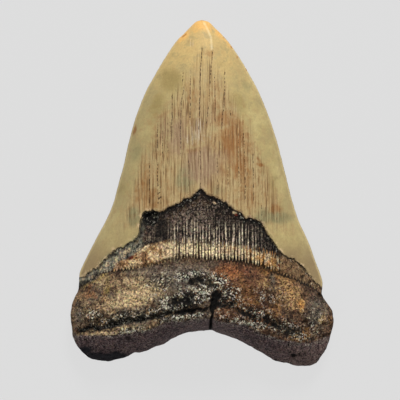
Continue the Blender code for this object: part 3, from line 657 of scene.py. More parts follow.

# %% [markdown]
# ## Zones and stains
#
# Where the enamel ends and how far a point lies from the neck are facts of the shape, so they are
# stored on the vertices as distances in millimetres. The material turns a distance into a crisp or a
# ragged border later, at any zoom. Stains have no law. Each kind is a few soft ellipses laid where
# mud, iron and manganese have coloured this tooth. A few lay painted light: soot ellipses under the
# left lobe are a painted shadow, and the tan ones on the root's upper left are partly a painted
# highlight.

# %% Stains of the lingual face: x, y, radius along, radius across, turn in degrees, strength
LINGUAL_STAINS = {
    "amber": [
        (-0.5, 62.3, 5.5, 3.4, 0, 1), (-6.4, 57.4, 3.6, 1.8, 50, 0.9), (6.5, 58.6, 3.4, 1.8, -45, 0.8),
        (10, 54.5, 3, 1.2, -52, 0.6),
    ],
    "rust": [
        (11.1, 18.7, 5.4, 10, 0, 1), (8.5, 26.5, 4, 4, 0, 0.8), (14, 10, 4, 7, 0, 0.85),
        (-24.5, 23, 0.9, 2.4, 0, 0.9), (20.8, 10.3, 1.7, 0.7, 0, 1.2), (19.9, 12, 0.7, 1.7, 25, 0.8),
        (-19.4, -1.6, 5.5, 5, 0, 0.6), (26.3, -5.4, 2.8, 2.4, 0, 0.9), (-33.5, -7.8, 1.4, 1.7, 0, 0.5),
        (2.5, 50.5, 5, 2.4, 0, 0.4), (-14, 24, 6, 8, 0, 0.3), (4.8, 31, 1.3, 6.5, 0, 0.6),
        (-3.5, 34.5, 3.4, 5, 0, 0.5), (5, 38, 2.6, 5, 0, 0.5), (-16.5, -4, 2.4, 2, 0, 0.7),
        (16, 2, 5, 7, 0, 0.5), (-39.5, -35, 4.5, 3.4, 0, 0.65), (9.8, -28, 6.2, 2.8, -8, 1),
        (-28, -25.3, 4.2, 1.5, 28, 0.9), (-21.5, -22.6, 4.6, 2.2, 18, 0.9),
        (-16.5, -21.5, 4, 3, 8, 0.6), (25.8, -24, 5, 2.2, -30, 1), (13, -7.6, 1, 1.4, 0, 1.2),
        (-2.4, 15, 2.4, 1.6, 0, 0.9), (2.6, 6, 1.2, 3, 0, 0.6), (8.5, 7.5, 3.5, 5, 0, 0.6),
        (-20, 3, 3, 6, 0, 0.6), (17.6, -9.3, 1.4, 0.7, -35, 1), (33, -28.8, 4.5, 1.3, -28, 0.6),
    ],
    "lilac": [
        (0.2, 9.6, 6.5, 7, 0, 1.1), (-8.5, 20, 5, 9, 0, 0.7), (5, 13, 8, 4, 0, 0.5),
        (-13, 22, 3, 6, 0, 0.5), (2, 28, 6, 4, 0, 0.4),
    ],
    "scuff": [
        (-4.2, 54.9, 1.2, 1.9, 0, 0.6), (3.3, 53, 0.8, 1.8, 0, 0.6), (9.4, 55.6, 1, 0.5, -50, 0.9),
        (-1.2, 22.4, 3, 4.6, 0, 1), (-4.2, 19, 2.8, 2.6, 0, 0.7), (2.6, 19, 2, 4, 0, 0.5),
    ],
    "green": [
        (-22.3, 15.8, 3.2, 4.2, 0, 0.5), (-24.1, -8.5, 3.2, 3.6, 0, 1), (27, -8.5, 5.5, 3, 0, 1),
        (22, -8.2, 3, 3.6, 0, 1.1), (15.8, 39.3, 2.2, 4, 20, 0.5), (-6, 5, 3.8, 5, 0, 0.9),
        (5.5, 1, 4, 2, 0, 0.4), (-32.5, -23.6, 3.6, 1.7, 28, 1), (-26.5, -20.2, 4.6, 1.9, 30, 1),
        (-22.3, -17.5, 2, 3.2, 15, 0.9), (-37.5, -27.9, 3.2, 0.8, 30, 0.8),
        (-18.5, -13.5, 2.2, 2.4, 0, 0.5), (31, -24.5, 3.2, 1.2, -35, 0.6),
    ],
    "olive": [
        (-10.7, 41, 4.5, 5, -20, 0.9), (-16, 32, 3.5, 7, -15, 0.7), (13, 33, 3, 5.5, 15, 0.6),
        (6, 46.5, 3, 2.6, 0, 0.4), (-28.5, 2, 3, 6, -10, 0.4), (25, 2, 2.2, 6, 8, 0.4),
        (-37.5, -31, 4, 1, 25, 1), (-41.8, -33.6, 2.6, 1.4, 30, 0.8), (-34.4, -33.6, 1.2, 3, 0, 1),
        (-31, -52.6, 7, 1.2, 3, 0.9), (-38.5, -52, 4, 1.5, 0, 0.6),
    ],
    # Tan: partly the root's own tan, partly a painted highlight on the upper left of the root, which
    # faces the light.
    "tan": [
        (-24, -37, 10.5, 3.4, 16, 1.1), (-29, -37, 4, 3, 0, 0.7), (-16, -34.5, 6, 3.2, 0, 0.6),
        (-24, -31.5, 8, 2.4, 0, 0.5), (31.5, -36, 5.5, 6.5, 30, 0.5), (35.6, -39.8, 1, 2.6, 0, 1.2),
        (43.5, -45, 1.3, 2.6, 0, 0.5), (-36.3, -32.6, 3, 2.2, 20, 0.5), (23, -33, 5, 2.6, -15, 0.4),
        (-42, -40, 2.4, 3, 0, 0.4), (-36, -40, 4, 3, 0, 0.35), (-35.6, -50.2, 6.5, 0.9, 2, 1),
        (-27, -48.4, 6, 0.9, 8, 0.6),
    ],
    # Soot: black manganese stains. The ellipses along the two furrows darken the furrows; the two at the
    # lower left of the arch lay a painted shadow under the left lobe.
    "soot_and_shade": [
        (-4.9, -38.8, 6, 2.6, 8, 1.1), (-9.5, -40.5, 5, 1.6, 18, 1), (-2.7, -30.7, 3, 1, 0, 0.9),
        (7.6, -39, 4, 1.8, -10, 1), (4.2, -38, 1.8, 3.4, 0, 1.2), (1.5, -36.6, 3.4, 2.2, 0, 0.8),
        (-1, -30.4, 3.6, 1.2, 0, 0.9), (9.6, -35.6, 2.8, 3.6, 0, 0.8), (18, -43, 6, 1, -25, 0.8),
        (27, -47.5, 6, 1.4, -20, 0.6), (-33, -47, 6, 1.2, 14, 1.2), (-26, -45.3, 5, 1.3, 6, 1.1),
        (-17, -43.6, 6, 1, 12, 1.1), (-6, -42, 7, 0.9, 8, 1), (-41.5, -49.3, 3, 0.8, 20, 0.8),
        (-34, -59.2, 11, 2.4, 0, 1.1), (-42, -57, 3.4, 2.6, 50, 1), (25.6, -59.2, 8, 1.6, -28, 0.7),
        (33.5, -58.5, 2.4, 1.8, 0, 0.9), (-31.6, -21.8, 1.8, 0.9, 20, 1.2),
        (-14, -13.5, 2.6, 4.5, 0, 0.9), (-42, -31.8, 3, 0.7, 28, 0.9), (-38.5, -28.8, 2, 0.6, 30, 0.8),
        (44, -38.5, 2, 3, 0, 0.4), (-43.2, -40.5, 2.2, 0.4, 5, 1.1), (24.8, -32.5, 1.2, 2.8, 0, 0.6),
        (41.8, -42.2, 1, 0.8, 0, 1),
    ],
    "pepper": [
        (-24, -43.8, 13, 2.4, 12, 1), (-8, -38.8, 9, 4, 22, 1.1), (1.5, -33, 5, 4.2, 0, 1.1),
        (-3, -29.8, 7, 2.6, 0, 0.9), (9.5, -37, 5, 4.4, 0, 1), (20, -44, 9, 3.4, -25, 1),
        (32, -49, 8, 3, -20, 0.8), (5.5, -30.6, 4.5, 3, 0, 0.8), (-14, -31.5, 7, 4, 0, 0.6),
        (-23, -49.2, 9, 1.4, 6, 1), (-7, -44.2, 8.5, 1.6, 10, 1.1), (14.5, -45.8, 8, 1.6, -18, 1),
        (-38, -44, 6, 3.5, 0, 0.7), (40, -46, 5, 6, 0, 0.5), (-35, -58, 8, 2.5, 0, 0.6),
        (-41.5, -31.5, 4, 1, 25, 0.9), (24, -37, 7, 4, 0, 0.5),
    ],
    "chalk": [
        (0, -34.6, 2.6, 2.6, 0, 0.9), (-1.8, -28.6, 2.6, 1, 20, 0.8), (6.9, -31.3, 3.4, 1.2, -10, 0.8),
        (-23.6, -49.6, 8, 0.9, 6, 0.8), (-6.9, -43.7, 7.5, 0.9, 8, 0.9),
        (-12.6, -39.4, 0.9, 0.9, 0, 1.4), (15.2, -46.2, 7, 0.9, -18, 0.9),
        (29.4, -47.8, 3.2, 1.2, 0, 0.6), (36.6, -50, 6, 1, -8, 0.5), (-17.5, -36, 5, 3, 0, 0.35),
        (4.5, -33.2, 2, 1.2, 0, 0.8),
    ],
    "cream": [
        (-11.5, -18.8, 5.5, 0.7, 4, 1), (-10.6, -22.2, 2.6, 1.6, 20, 1),
        (-19.5, -19.2, 3, 0.6, 20, 0.8), (-14.2, -25.2, 4.5, 0.5, 8, 0.9), (-22, -21.5, 2, 1.5, 0, 0.5),
        (-16.5, -3, 1.6, 0.7, 0, 0.8), (-24, -26.2, 4, 0.5, 4, 0.6), (4.8, -3.4, 1, 0.6, -40, 0.8),
        (12.5, -7, 1.2, 0.8, -40, 0.8),
    ],
    "notch": [
        (-25.2, -22.9, 1.2, 1, 30, 1), (-23.2, -21.6, 1, 0.5, 40, 0.8), (12.8, -7.8, 1, 0.8, 0, 0.9),
        (17.4, -9.4, 1.2, 0.6, -30, 0.7), (27.5, -25.5, 1.4, 0.6, -50, 0.8),
    ],
    "nick": [
        (8.3, 56.7, 0.5, 0.5, 0, 1), (10.8, 53.4, 0.5, 0.6, 0, 0.8), (13.2, 49.5, 0.4, 0.5, 0, 0.8),
        (16.3, 45.4, 0.4, 0.6, 0, 0.9), (-5.7, 58.4, 0.5, 0.5, 0, 0.8), (-6.6, 57.6, 0.9, 0.5, 45, 0.8),
    ],
    "ash": [
        (-8.5, -30, 11, 5.6, 0, 1), (25.6, -31.4, 1.5, 3, 0, 0.9), (41.5, -42, 4.5, 6.5, 0, 0.8),
        (-44, -44.5, 3, 5, 0, 0.5), (33, -27.6, 5, 1.6, -30, 0.9), (38.5, -31, 3, 1.4, -30, 0.9),
    ],
}  # fmt: skip
# The middle of the crown, below this arch, is a warm tan. Its margins are grey-green.
ARCH = [
    (-50, -30), (-27.5, -6), (-24.1, 6.7), (-20.5, 15.8), (-16.9, 23), (-15, 28.5), (-10.7, 34.5),
    (-4, 46), (-0.5, 52.5), (3.5, 51), (8.5, 43.5), (12, 34), (14.5, 29), (18.3, 22), (21.9, 12.1),
    (25.2, 7), (29, -6), (50, -30),
]  # fmt: skip
TIP_HIGHLIGHT = [(0.9, 62), (2.4, 59), (3.4, 56.5), (3.8, 52)]  # painted highlight: a fine pale line near the tip, as of light along a slight ridge
print(sum(len(marks) for marks in LINGUAL_STAINS.values()), "stains of", len(LINGUAL_STAINS), "kinds")

# %% Stains of the labial face: fewer and broader
LABIAL_CRACKS = [
    (0.8, [(-1, 50), (-0.6, 30), (-1.2, 8)]), (0.7, [(6, 38), (6.4, 10), (6, -12)]),
    (0.7, [(-8, 34), (-8.4, 4)]), (0.6, [(13, 20), (13.5, -18)]), (0.6, [(-15, 16), (-15.6, -20)]),
    (0.5, [(-22, 2), (-22.6, -24)]), (0.5, [(20.5, 4), (21, -24)]), (0.6, [(1.5, 2), (1.2, -26)]),
]  # fmt: skip
LABIAL_STAINS = {
    "amber": [(0, 62, 6, 4, 0, 0.9)],
    "rust": [
        (-12, 8, 6, 12, 0, 0.5), (14, -12, 8, 7, 0, 0.6), (-24, -40, 8, 4, 0, 0.6),
        (20, -48, 7, 3, -20, 0.5),
    ],
    "lilac": [(2, 10, 8, 14, 0, 0.4)],
    "scuff": [(0, 45, 3, 3, 0, 0.7)],
    "green": [(-20, -14, 8, 6, 0, 0.6), (22, 2, 6, 9, 10, 0.5)],
    "olive": [(0, 36, 8, 10, 0, 0.5), (-16, 26, 4, 9, -15, 0.6)],
    "tan": [(-20, -50, 9, 4, 15, 0.7), (30, -44, 9, 5, 0, 0.8), (0, -40, 9, 4, 0, 0.5)],
    "soot_and_shade": [(0, -46, 9, 3, 0, 0.6), (-36, -52, 6, 6, 0, 0.6), (38, -54, 6, 5, 0, 0.6)],
    "chalk": [(27.5, -46, 4, 3, 0, 0.8), (-27, -45, 4, 3, 0, 0.8)],
    "ash": [(10, -42, 9, 5, 0, 0.7), (-40, -42, 5, 6, 0, 0.6)],
    "pepper": [(0, -44, 14, 4, 0, 0.8), (-30, -50, 10, 6, 0, 0.8), (32, -52, 10, 6, 0, 0.8)],
    "cream": [(-6, -30.8, 7, 0.6, 0, 0.6)],
    "notch": [(16, 30, 1, 2, 0, 0.6)],
    "nick": [(-12, 50, 0.5, 0.6, 0, 0.9)],
}  # fmt: skip
print(len(LABIAL_STAINS), "kinds of stain")


# %% One number per vertex for each zone
def edge_distance(x, y):
    """Millimetres from the nearer cutting edge, measured straight across."""
    left, right = sides_at(y)
    return np.minimum(x - left, right - x)


def lingual_zones(x, y, row):
    """Every zone and stain of the lingual face, by name."""
    side = np.where(row > first_crown, 1.0, -1.0)
    crack, strength = nearest_crack(x, y, CRACKS)
    zones = {
        "enamel_mm": side * distance_to(enamel_line, x, y),
        "neck_mm": y - read(NECK, x),
        "base_mm": y - read(BASAL_EDGE, x),
        "arch_mm": np.interp(x, *np.array(ARCH).T) - y,
        "edge_mm": edge_distance(x, y),
        "crack_mm": crack,
        "crack_strength": strength,
        "hollow": hollowness(x, y) * (row <= first_crown),
        # the pale line near the tip is a painted highlight
        "tip_highlight": np.exp(-((distance_to(TIP_HIGHLIGHT, x, y) / 0.55) ** 2)),
    }
    return zones | {name: spots(x, y, marks) for name, marks in LINGUAL_STAINS.items()}


def labial_zones(x, y):
    """The same names for the labial face, where the enamel reaches almost to the neck."""
    crack, strength = nearest_crack(x, y, LABIAL_CRACKS)
    zones = {
        "enamel_mm": y - read(LABIAL_ENAMEL, x) + 0.4 * noise(x, y, 1.5, 1.5, 5),
        "neck_mm": y - read(LABIAL_NECK, x),
        "base_mm": np.full_like(x, 6.0),
        "arch_mm": 40.0 - 0.05 * x**2 - y,
        "edge_mm": edge_distance(x, y),
        "crack_mm": crack,
        "crack_strength": strength,
        "hollow": np.zeros_like(x),
        "tip_highlight": np.zeros_like(x),
    }
    return zones | {name: spots(x, y, marks) for name, marks in LABIAL_STAINS.items()}


up_zones, down_zones = lingual_zones(x, y, row), labial_zones(labial_x, labial_y)
tip_zones = lingual_zones(np.array([TIP[0]]), np.array([TIP[1]]), np.array([len(plan)]))
zones = {
    name: np.concatenate([up_zones[name].ravel(), down_zones[name].ravel(), tip_zones[name]])[used]
    for name in up_zones
}
ZONE_LIMIT = 20.0  # mm; the two values of every test of a distance lie within it
zones = {name: np.clip(values, -ZONE_LIMIT, ZONE_LIMIT) for name, values in zones.items()}
print("zones:", ", ".join(zones))

# %% The mesh and its attributes
box_middle = (points[used].min(axis=0) + points[used].max(axis=0)) / 2
cad_middle = (low + high) / 2
shift = [cad_middle[0] - box_middle[0], low[1] - points[used, 1].min(), 0.0]
shape = bpy.data.meshes.new("tooth")
shape.from_pydata(((points[used] + shift) * MM).tolist(), [], quads.tolist() + triangles.tolist())
for name, values in zones.items():
    attribute = shape.attributes.new(name, "FLOAT", "POINT")
    attribute.data.foreach_set("value", values.astype(np.float32))
shape.validate()
shape.shade_smooth()
tooth = bpy.data.objects.new("tooth", shape)
bpy.context.scene.collection.objects.link(tooth)
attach(tooth, "root")
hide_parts(NODE)
print("moved by", np.round(shift, 2), "mm onto the CAD box")

# %% [markdown]
# ## The material: worn enamel over mineralised dentine
#
# Shark enamel is a thin, dense, glassy layer, so it keeps a soft polish even as a fossil. Dentine and
# root are porous: they soak up iron (rust, ochre) and manganese (black), and stay matt. Both are one
# Principled surface here, because the borders between them are torn, stained and gritty. Patterns are
# laid in millimetres on Object coordinates, which stay put in every view.

# %% The palette
# Some colours here stand for light: the near black of the hollows is painted shade, soot is partly
# painted shade along the enamel's step and the neck groove, the bluish black under the left lobe is a
# painted shadow, and the pale tip line is a painted highlight.
PALETTE = {
    "enamel": "b3a16d", "enamel light": "c3b27c", "enamel dull": "a59468", "enamel flank": "8f7957",
    "enamel tan": "ad9468", "enamel warm": "a18358", "crown top": "cdae72", "olive stain": "93804f",
    "olive root": "8a7440", "green stain": "7e7b58", "rust stain": "8d5e2f", "lilac stain": "967b60",
    "amber": "e6b468", "scuff": "c4b7a6", "rib dark": "5c3d1e", "rib light": "cfb98a",
    "crack": "38210e", "tip highlight": "f3e0b0", "cutting edge": "d6c08c", "nick": "b0763a",
    "bourlette": "1c1410", "bourlette brown": "47321f", "bourlette grit": "8a7a6c",
    "bourlette rib": "e0cdb2", "band gap": "44301f", "band rib": "e3cda4", "band rust": "a37a52",
    "band cream": "dfc298", "grey strip": "878170", "umber strip": "7d6348", "red notch": "5c1f12",
    "root": "6b5340", "root dark": "3a2a1f", "ash": "756a5d", "tan": "ccb086", "ochre": "b47d3d",
    "rust root": "7a4c32", "rust bright": "9a643f", "sandy root": "987d5d", "soot_and_shade": "0d0b09",
    "moss black": "12150e", "fleck": "b9b3a2", "painted lobe shadow": "0c0e16", "basal": "574647",
    "basal dark": "231b1b", "basal light": "8c7f78", "basal warm": "6d5a54", "hollow": "080605",
}  # fmt: skip
print(len(PALETTE), "colours")


# %% Two helpers: one for colours, one for nodes
def linear(hex_colour):
    """An sRGB hex colour as linear red, green, blue and alpha."""
    srgb = np.array([int(hex_colour[k : k + 2], 16) for k in (0, 2, 4)]) / 255
    rgb = np.where(srgb <= 0.04045, srgb / 12.92, ((srgb + 0.055) / 1.055) ** 2.4)
    return (*rgb.tolist(), 1.0)


material = bpy.data.materials.new("fossil_enamel_and_dentine")
material.use_nodes = True
tree = material.node_tree
skin = tree.nodes["Principled BSDF"]


def put(kind, inputs, take=None, **settings):
    """Adds a node, gives it its settings, and sets or links its inputs. Returns the output to take,
    or the first that is in use."""
    node = tree.nodes.new(kind)
    for key, value in settings.items():
        setattr(node, key, value)
    for socket, value in inputs.items():
        if isinstance(value, bpy.types.NodeSocket):
            tree.links.new(value, node.inputs[socket])
        else:
            node.inputs[socket].default_value = value
    return node.outputs[take] if take else next(output for output in node.outputs if output.enabled)


colour = {name: linear(value) for name, value in PALETTE.items()}
print("an empty material has", len(tree.nodes), "nodes")

# %% Patterns, each with its size in millimetres
place = put("ShaderNodeTexCoord", {}, take="Object")
mm = put("ShaderNodeMapping", {"Vector": place, "Scale": (1000.0, 1000.0, 1000.0)})
# Real grains of mineral are about 0.1 mm. The ones here are as coarse as they have to be to show.
CLOUDS = {  # fractal noise: size in mm across, along and up; detail; roughness
    "sand": (0.75, 0.75, 0.75, 3.0, 0.6),
    "clot": (2.4, 2.4, 2.4, 3.0, 0.62),
    "cloud": (8.0, 8.0, 8.0, 3.0, 0.55),
    "fine rib": (0.5, 12.0, 60.0, 1.0, 0.5),
    "broad rib": (2.0, 18.0, 60.0, 2.0, 0.5),
    "break": (1.2, 6.0, 6.0, 3.0, 0.7),
}
GRAINS = {"grit": 0.55, "dust": 0.4}  # mineral grains of this size in mm, each with a value of its own
COMBS = {"rib": (1.3, 6.0), "flute": (1.15, 5.0)}  # pitch of long parallel ribs in mm; waviness
pattern = {}
for name, (across, along, up, detail, roughness) in CLOUDS.items():
    stretched = put("ShaderNodeMapping", {"Vector": mm, "Scale": (1 / across, 1 / along, 1 / up)})
    settings = {"Vector": stretched, "Scale": 1.0, "Detail": detail, "Roughness": roughness}
    pattern[name] = put("ShaderNodeTexNoise", settings)
for name, size in GRAINS.items():
    pattern[name] = put("ShaderNodeTexVoronoi", {"Vector": mm, "Scale": 1 / size}, take="Color")
for name, (pitch, waviness) in COMBS.items():
    stretched = put("ShaderNodeMapping", {"Vector": mm, "Scale": (1.0, 0.09, 0.02)})
    settings = {"Vector": stretched, "Scale": 2 * np.pi / 20 / pitch, "Distortion": waviness}
    settings |= {"Detail": 2.0, "Detail Scale": 1.5}
    pattern[name] = put("ShaderNodeTexWave", settings, bands_direction="X")
axes = {axis.lower(): put("ShaderNodeSeparateXYZ", {"Vector": mm}, take=axis) for axis in "XYZ"}
stored = {name: put("ShaderNodeAttribute", {}, take="Fac", attribute_name=name) for name in zones}
field = pattern | axes | stored
field["crack_near"] = put("ShaderNodeMath", {0: field["crack_mm"]}, operation="ABSOLUTE")
print("fields:", ", ".join(field))

# %% [markdown]
# ## Colour in layers
#
# The colour is laid on as a painter would: a ground tone, then layer over layer. Each layer is a row
# of a table: its colour, its strength, and the tests that say where it shows. A test is a field and
# two values of it. The layer is absent at the first value and full at the second, with a soft step
# between. A test may name a pattern and an amount, and then that pattern frays its border. All tests
# of a row are multiplied.

# %% The function that turns tests into a mask
def mask_of(strength, tests):
    """strength times the soft step of every test. A pattern that frays a test adds half its amount
    on average, so the test's two values are raised by that half."""
    mask = strength
    for name, absent, full, *fraying in tests:
        value = field[name]
        if fraying:
            by, amount = fraying
            value = put("ShaderNodeMath", {0: field[by], 1: amount, 2: value}, operation="MULTIPLY_ADD")
            absent, full = absent + amount / 2, full + amount / 2
        limits = {"Value": value, "From Min": absent, "From Max": full}
        step = put("ShaderNodeMapRange", limits, interpolation_type="SMOOTHSTEP")
        mask = put("ShaderNodeMath", {0: step, 1: mask}, operation="MULTIPLY")
    return mask


def painted(surface, layers):
    """A ground colour, or a painted surface, with every layer mixed over it in turn."""
    for name, strength, tests in layers:
        inputs = {0: mask_of(strength, tests), 6: surface, 7: colour[name]}
        surface = put("ShaderNodeMix", inputs, data_type="RGBA")
    return surface


print("tests can read", len(field), "fields")

# %% The crown's enamel
ON_ENAMEL = ("enamel_mm", -0.12, 0.15, "dust", 0.7)
IN_ARCH = ("arch_mm", -3.0, 9.0, "broad rib", 10.0)
ABOVE_MARGINS = ("y", -17.0, -4.0, "clot", 8.0)
ENAMEL = [
    ("enamel light", 0.7, [("cloud", 0.48, 0.62)]),
    ("enamel dull", 0.6, [("cloud", 0.5, 0.38)]),
    # Painted shade: duller and darker towards the left cutting edge, the side away from the light.
    ("enamel dull", 0.5, [("x", 0, -25, "cloud", 20)]),
    ("enamel tan", 0.85, [IN_ARCH, ABOVE_MARGINS]),
    ("enamel flank", 0.85, [("y", -13, -26, "cloud", 6)]),
    ("enamel tan", 0.45, [("clot", 0.48, 0.62), ("y", -30, 0)]),
    ("enamel warm", 0.8, [IN_ARCH, ABOVE_MARGINS, ("cloud", 0.38, 0.58, "broad rib", 0.6)]),
    # Partly painted light: brighter and yellower towards the tip, partly the tip's own tone and partly
    # light on the top, which slopes towards the lamp.
    ("crown top", 0.95, [("y", 28, 62, "cloud", 24)]),
    ("enamel dull", 0.5, [("clot", 0.46, 0.36), ("y", 0, 20)]),
    ("olive stain", 0.75, [("olive", 0.1, 0.8, "cloud", 1.2)]),
    ("green stain", 0.8, [("green", 0.12, 0.8, "cloud", 1.2)]),
    ("rust stain", 0.9, [("rust", 0.1, 0.9, "clot", 1)]),
    ("rust stain", 0.25, [("clot", 0.5, 0.6), IN_ARCH, ("y", -20, 0), ("y", 34, 20)]),
    ("lilac stain", 0.85, [("lilac", 0.15, 0.8, "clot", 0.9)]),
    ("scuff", 0.65, [("scuff", 0.3, 0.8, "sand", 1.4), ("fine rib", 0.42, 0.6)]),
    ("rib dark", 0.5, [("scuff", 0.2, 0.7, "clot", 0.5), ("fine rib", 0.5, 0.4)]),
    ("rib light", 0.25, [("rib", 0.45, 0.15), IN_ARCH, ABOVE_MARGINS, ("break", 0.42, 0.6)]),
    ("rib light", 0.2, [("fine rib", 0.5, 0.64), IN_ARCH, ABOVE_MARGINS]),
    ("rib dark", 0.7, [("fine rib", 0.43, 0.32), IN_ARCH, ABOVE_MARGINS, ("broad rib", 0.42, 0.56)]),
    ("rib dark", 0.7, [("rib", 0.82, 0.98, "fine rib", 0.6), IN_ARCH, ABOVE_MARGINS,
        ("break", 0.45, 0.6)]),
    ("cutting edge", 0.6, [("edge_mm", 1, 0.2, "clot", 0.8), ("z", 1, 3)]),
    ("amber", 0.95, [("amber", 0.12, 0.75, "clot", 0.6)]),
    # Painted highlight: a thin pale line near the tip, with no ridge under it in the mesh.
    ("tip highlight", 0.4, [("tip_highlight", 0.3, 0.95, "sand", 0.7)]),
    ("nick", 0.8, [("nick", 0.15, 0.6)]),
    ("crack", 0.95, [("crack_near", 0.24, 0.1), ("crack_strength", 0.4, 1.05, "sand", 4.2)]),
    ("band cream", 0.6, [("enamel_mm", 1.5, 0.3, "sand", 1.8), ("clot", 0.5, 0.58)]),
    ("bourlette brown", 0.75, [("enamel_mm", 1.1, 0, "sand", 2.2), ("x", -22, -14), ("x", 27, 23)]),
    # The dark bourlette colour over the enamel's lowest 0.3 mm: partly the bourlette's own dark, partly
    # painted shadow at the enamel's step.
    ("bourlette", 0.8, [("enamel_mm", 0.3, -0.1, "clot", 1.2)]),
]  # fmt: skip
print(len(ENAMEL), "layers on the enamel")

# %% The bourlette and the pale band above the neck
BAND = ("neck_mm", 6.6, 5.0, "flute", 2.0)  # between the bourlette and the neck
RIBBED = ("neck_mm", 16.0, 8.0, "clot", 12.0)  # the lower part of the bourlette
# The band under the left arm of the chevron, and the strip that borders the enamel at the far left.
LEFT_BAND = [("x", -9, -15, "clot", 5), ("enamel_mm", -3.6, -4.6, "sand", 2),
    ("neck_mm", 8.2, 6.6, "sand", 2)]  # fmt: skip
LEFT_STRIP = [("x", -20, -23, "clot", 4), ("enamel_mm", -4.2, -3.4, "sand", 2)]
BOURLETTE = [
    ("bourlette brown", 0.85, [("clot", 0.44, 0.56), ("enamel_mm", -0.6, -2.6, "clot", 2.5)]),
    ("bourlette grit", 0.6, [("enamel_mm", -1.4, -4.4, "clot", 4), ("clot", 0.42, 0.62)]),
    ("soot_and_shade", 0.7, [("sand", 0.47, 0.37), ("enamel_mm", -0.5, -2)]),
    ("soot_and_shade", 0.5, [("fine rib", 0.46, 0.36), ("enamel_mm", -1, -3, "clot", 3)]),
    ("soot_and_shade", 0.85, [("flute", 0.5, 0.2, "fine rib", 1), RIBBED, ("x", -22, -8, "clot", 8)]),
    ("soot_and_shade", 0.85, [("x", 1, 6, "clot", 8), ("neck_mm", 5.5, 8, "clot", 4), ("clot", 0.46, 0.56)]),
    ("soot_and_shade", 0.85, [("x", 13, 17, "clot", 6), ("neck_mm", 6, 8, "clot", 3)]),
    ("bourlette grit", 0.45, [("dust", 0.56, 0.8), ("enamel_mm", -0.4, -2.2, "clot", 2)]),
    # Partly painted shadow under the enamel's step: the bourlette's dark right at the edge, right of x 4
    # to 12 mm.
    ("bourlette", 0.5, [("x", 4, 12, "clot", 8), ("enamel_mm", 0.2, -0.4)]),
    ("bourlette rib", 1, [("flute", 0.66, 0.96, "fine rib", 1.3), RIBBED, ("x", -20, -6, "clot", 12),
        ("x", 25, 13, "clot", 8), ("break", 0.4, 0.54)]),
    ("umber strip", 0.9, [("x", 26, 31, "clot", 5)]),
    ("band rust", 0.95, LEFT_BAND),
    ("band cream", 0.7, [*LEFT_BAND, ("clot", 0.47, 0.6)]),
    ("band gap", 0.5, [*LEFT_BAND, ("clot", 0.44, 0.36)]),
    ("grey strip", 0.9, LEFT_STRIP),
    ("band cream", 0.6, [*LEFT_STRIP, ("clot", 0.52, 0.62)]),
    ("soot_and_shade", 0.7, [*LEFT_STRIP, ("clot", 0.45, 0.36)]),
    ("band cream", 0.9, [("cream", 0.2, 0.7, "sand", 1.2)]),
    ("band gap", 0.9, [BAND, ("x", -17, -8, "clot", 6)]),
    ("band rib", 1, [BAND, ("neck_mm", 0.5, 1.5, "flute", 1.8), ("x", -17, -8, "clot", 6),
        ("x", 30, 24, "clot", 6), ("flute", 0.15, 0.5, "fine rib", 1.8)]),
    ("band rust", 0.5, [BAND, ("x", 2, 8, "clot", 6), ("clot", 0.48, 0.6)]),
    ("ochre", 0.75, [BAND, ("x", 15, 22, "clot", 8), ("x", 32, 28, "clot", 5), ("clot", 0.4, 0.54)]),
    ("soot_and_shade", 0.7, [BAND, ("clot", 0.44, 0.34), ("fine rib", 0.4, 0.6)]),
    ("umber strip", 0.85, [BAND, ("x", 24, 29, "clot", 6), ("clot", 0.4, 0.5)]),
    ("soot_and_shade", 0.85, [("soot_and_shade", 0.2, 0.8, "dust", 1)]),
    ("red notch", 0.9, [("notch", 0.3, 0.7, "sand", 0.6)]),
    ("band cream", 0.75, [BAND, ("x", -20, -16, "clot", 3), ("x", -2, -9, "clot", 5),
        ("fine rib", 0.44, 0.56), ("clot", 0.32, 0.5), ("neck_mm", 0.8, 2, "clot", 2)]),
    # Painted shadow under the enamel's step, over the dark bourlette: a black band just below the
    # enamel's edge.
    ("soot_and_shade", 0.85, [("enamel_mm", -1.6, -0.3, "clot", 5), ("x", -30, -20), ("x", 30, 26)]),
    ("fleck", 0.5, [("enamel_mm", -1.4, -0.5, "clot", 1.5), ("dust", 0.6, 0.85), ("clot", 0.45, 0.6),
        ("x", -22, -18)]),
    # Painted shade in the neck groove: a black band just above the neck.
    ("soot_and_shade", 0.9, [("neck_mm", 1.7, 0.8, "flute", 2.6), ("x", -2, 6, "clot", 6), ("x", 26, 22)]),
    # Thin black lines just below the enamel's edge at the far left and far right: partly a dark crack
    # along the edge, partly painted shadow under the enamel's step.
    ("soot_and_shade", 0.8, [("enamel_mm", -0.7, -0.1, "clot", 2.4), ("clot", 0.44, 0.54), ("x", -20, -24)]),
    ("soot_and_shade", 0.9, [("enamel_mm", -0.4, -0.05, "clot", 0.9), ("x", 24, 28)]),
]  # fmt: skip
print(len(BOURLETTE), "layers on the bourlette and its band")

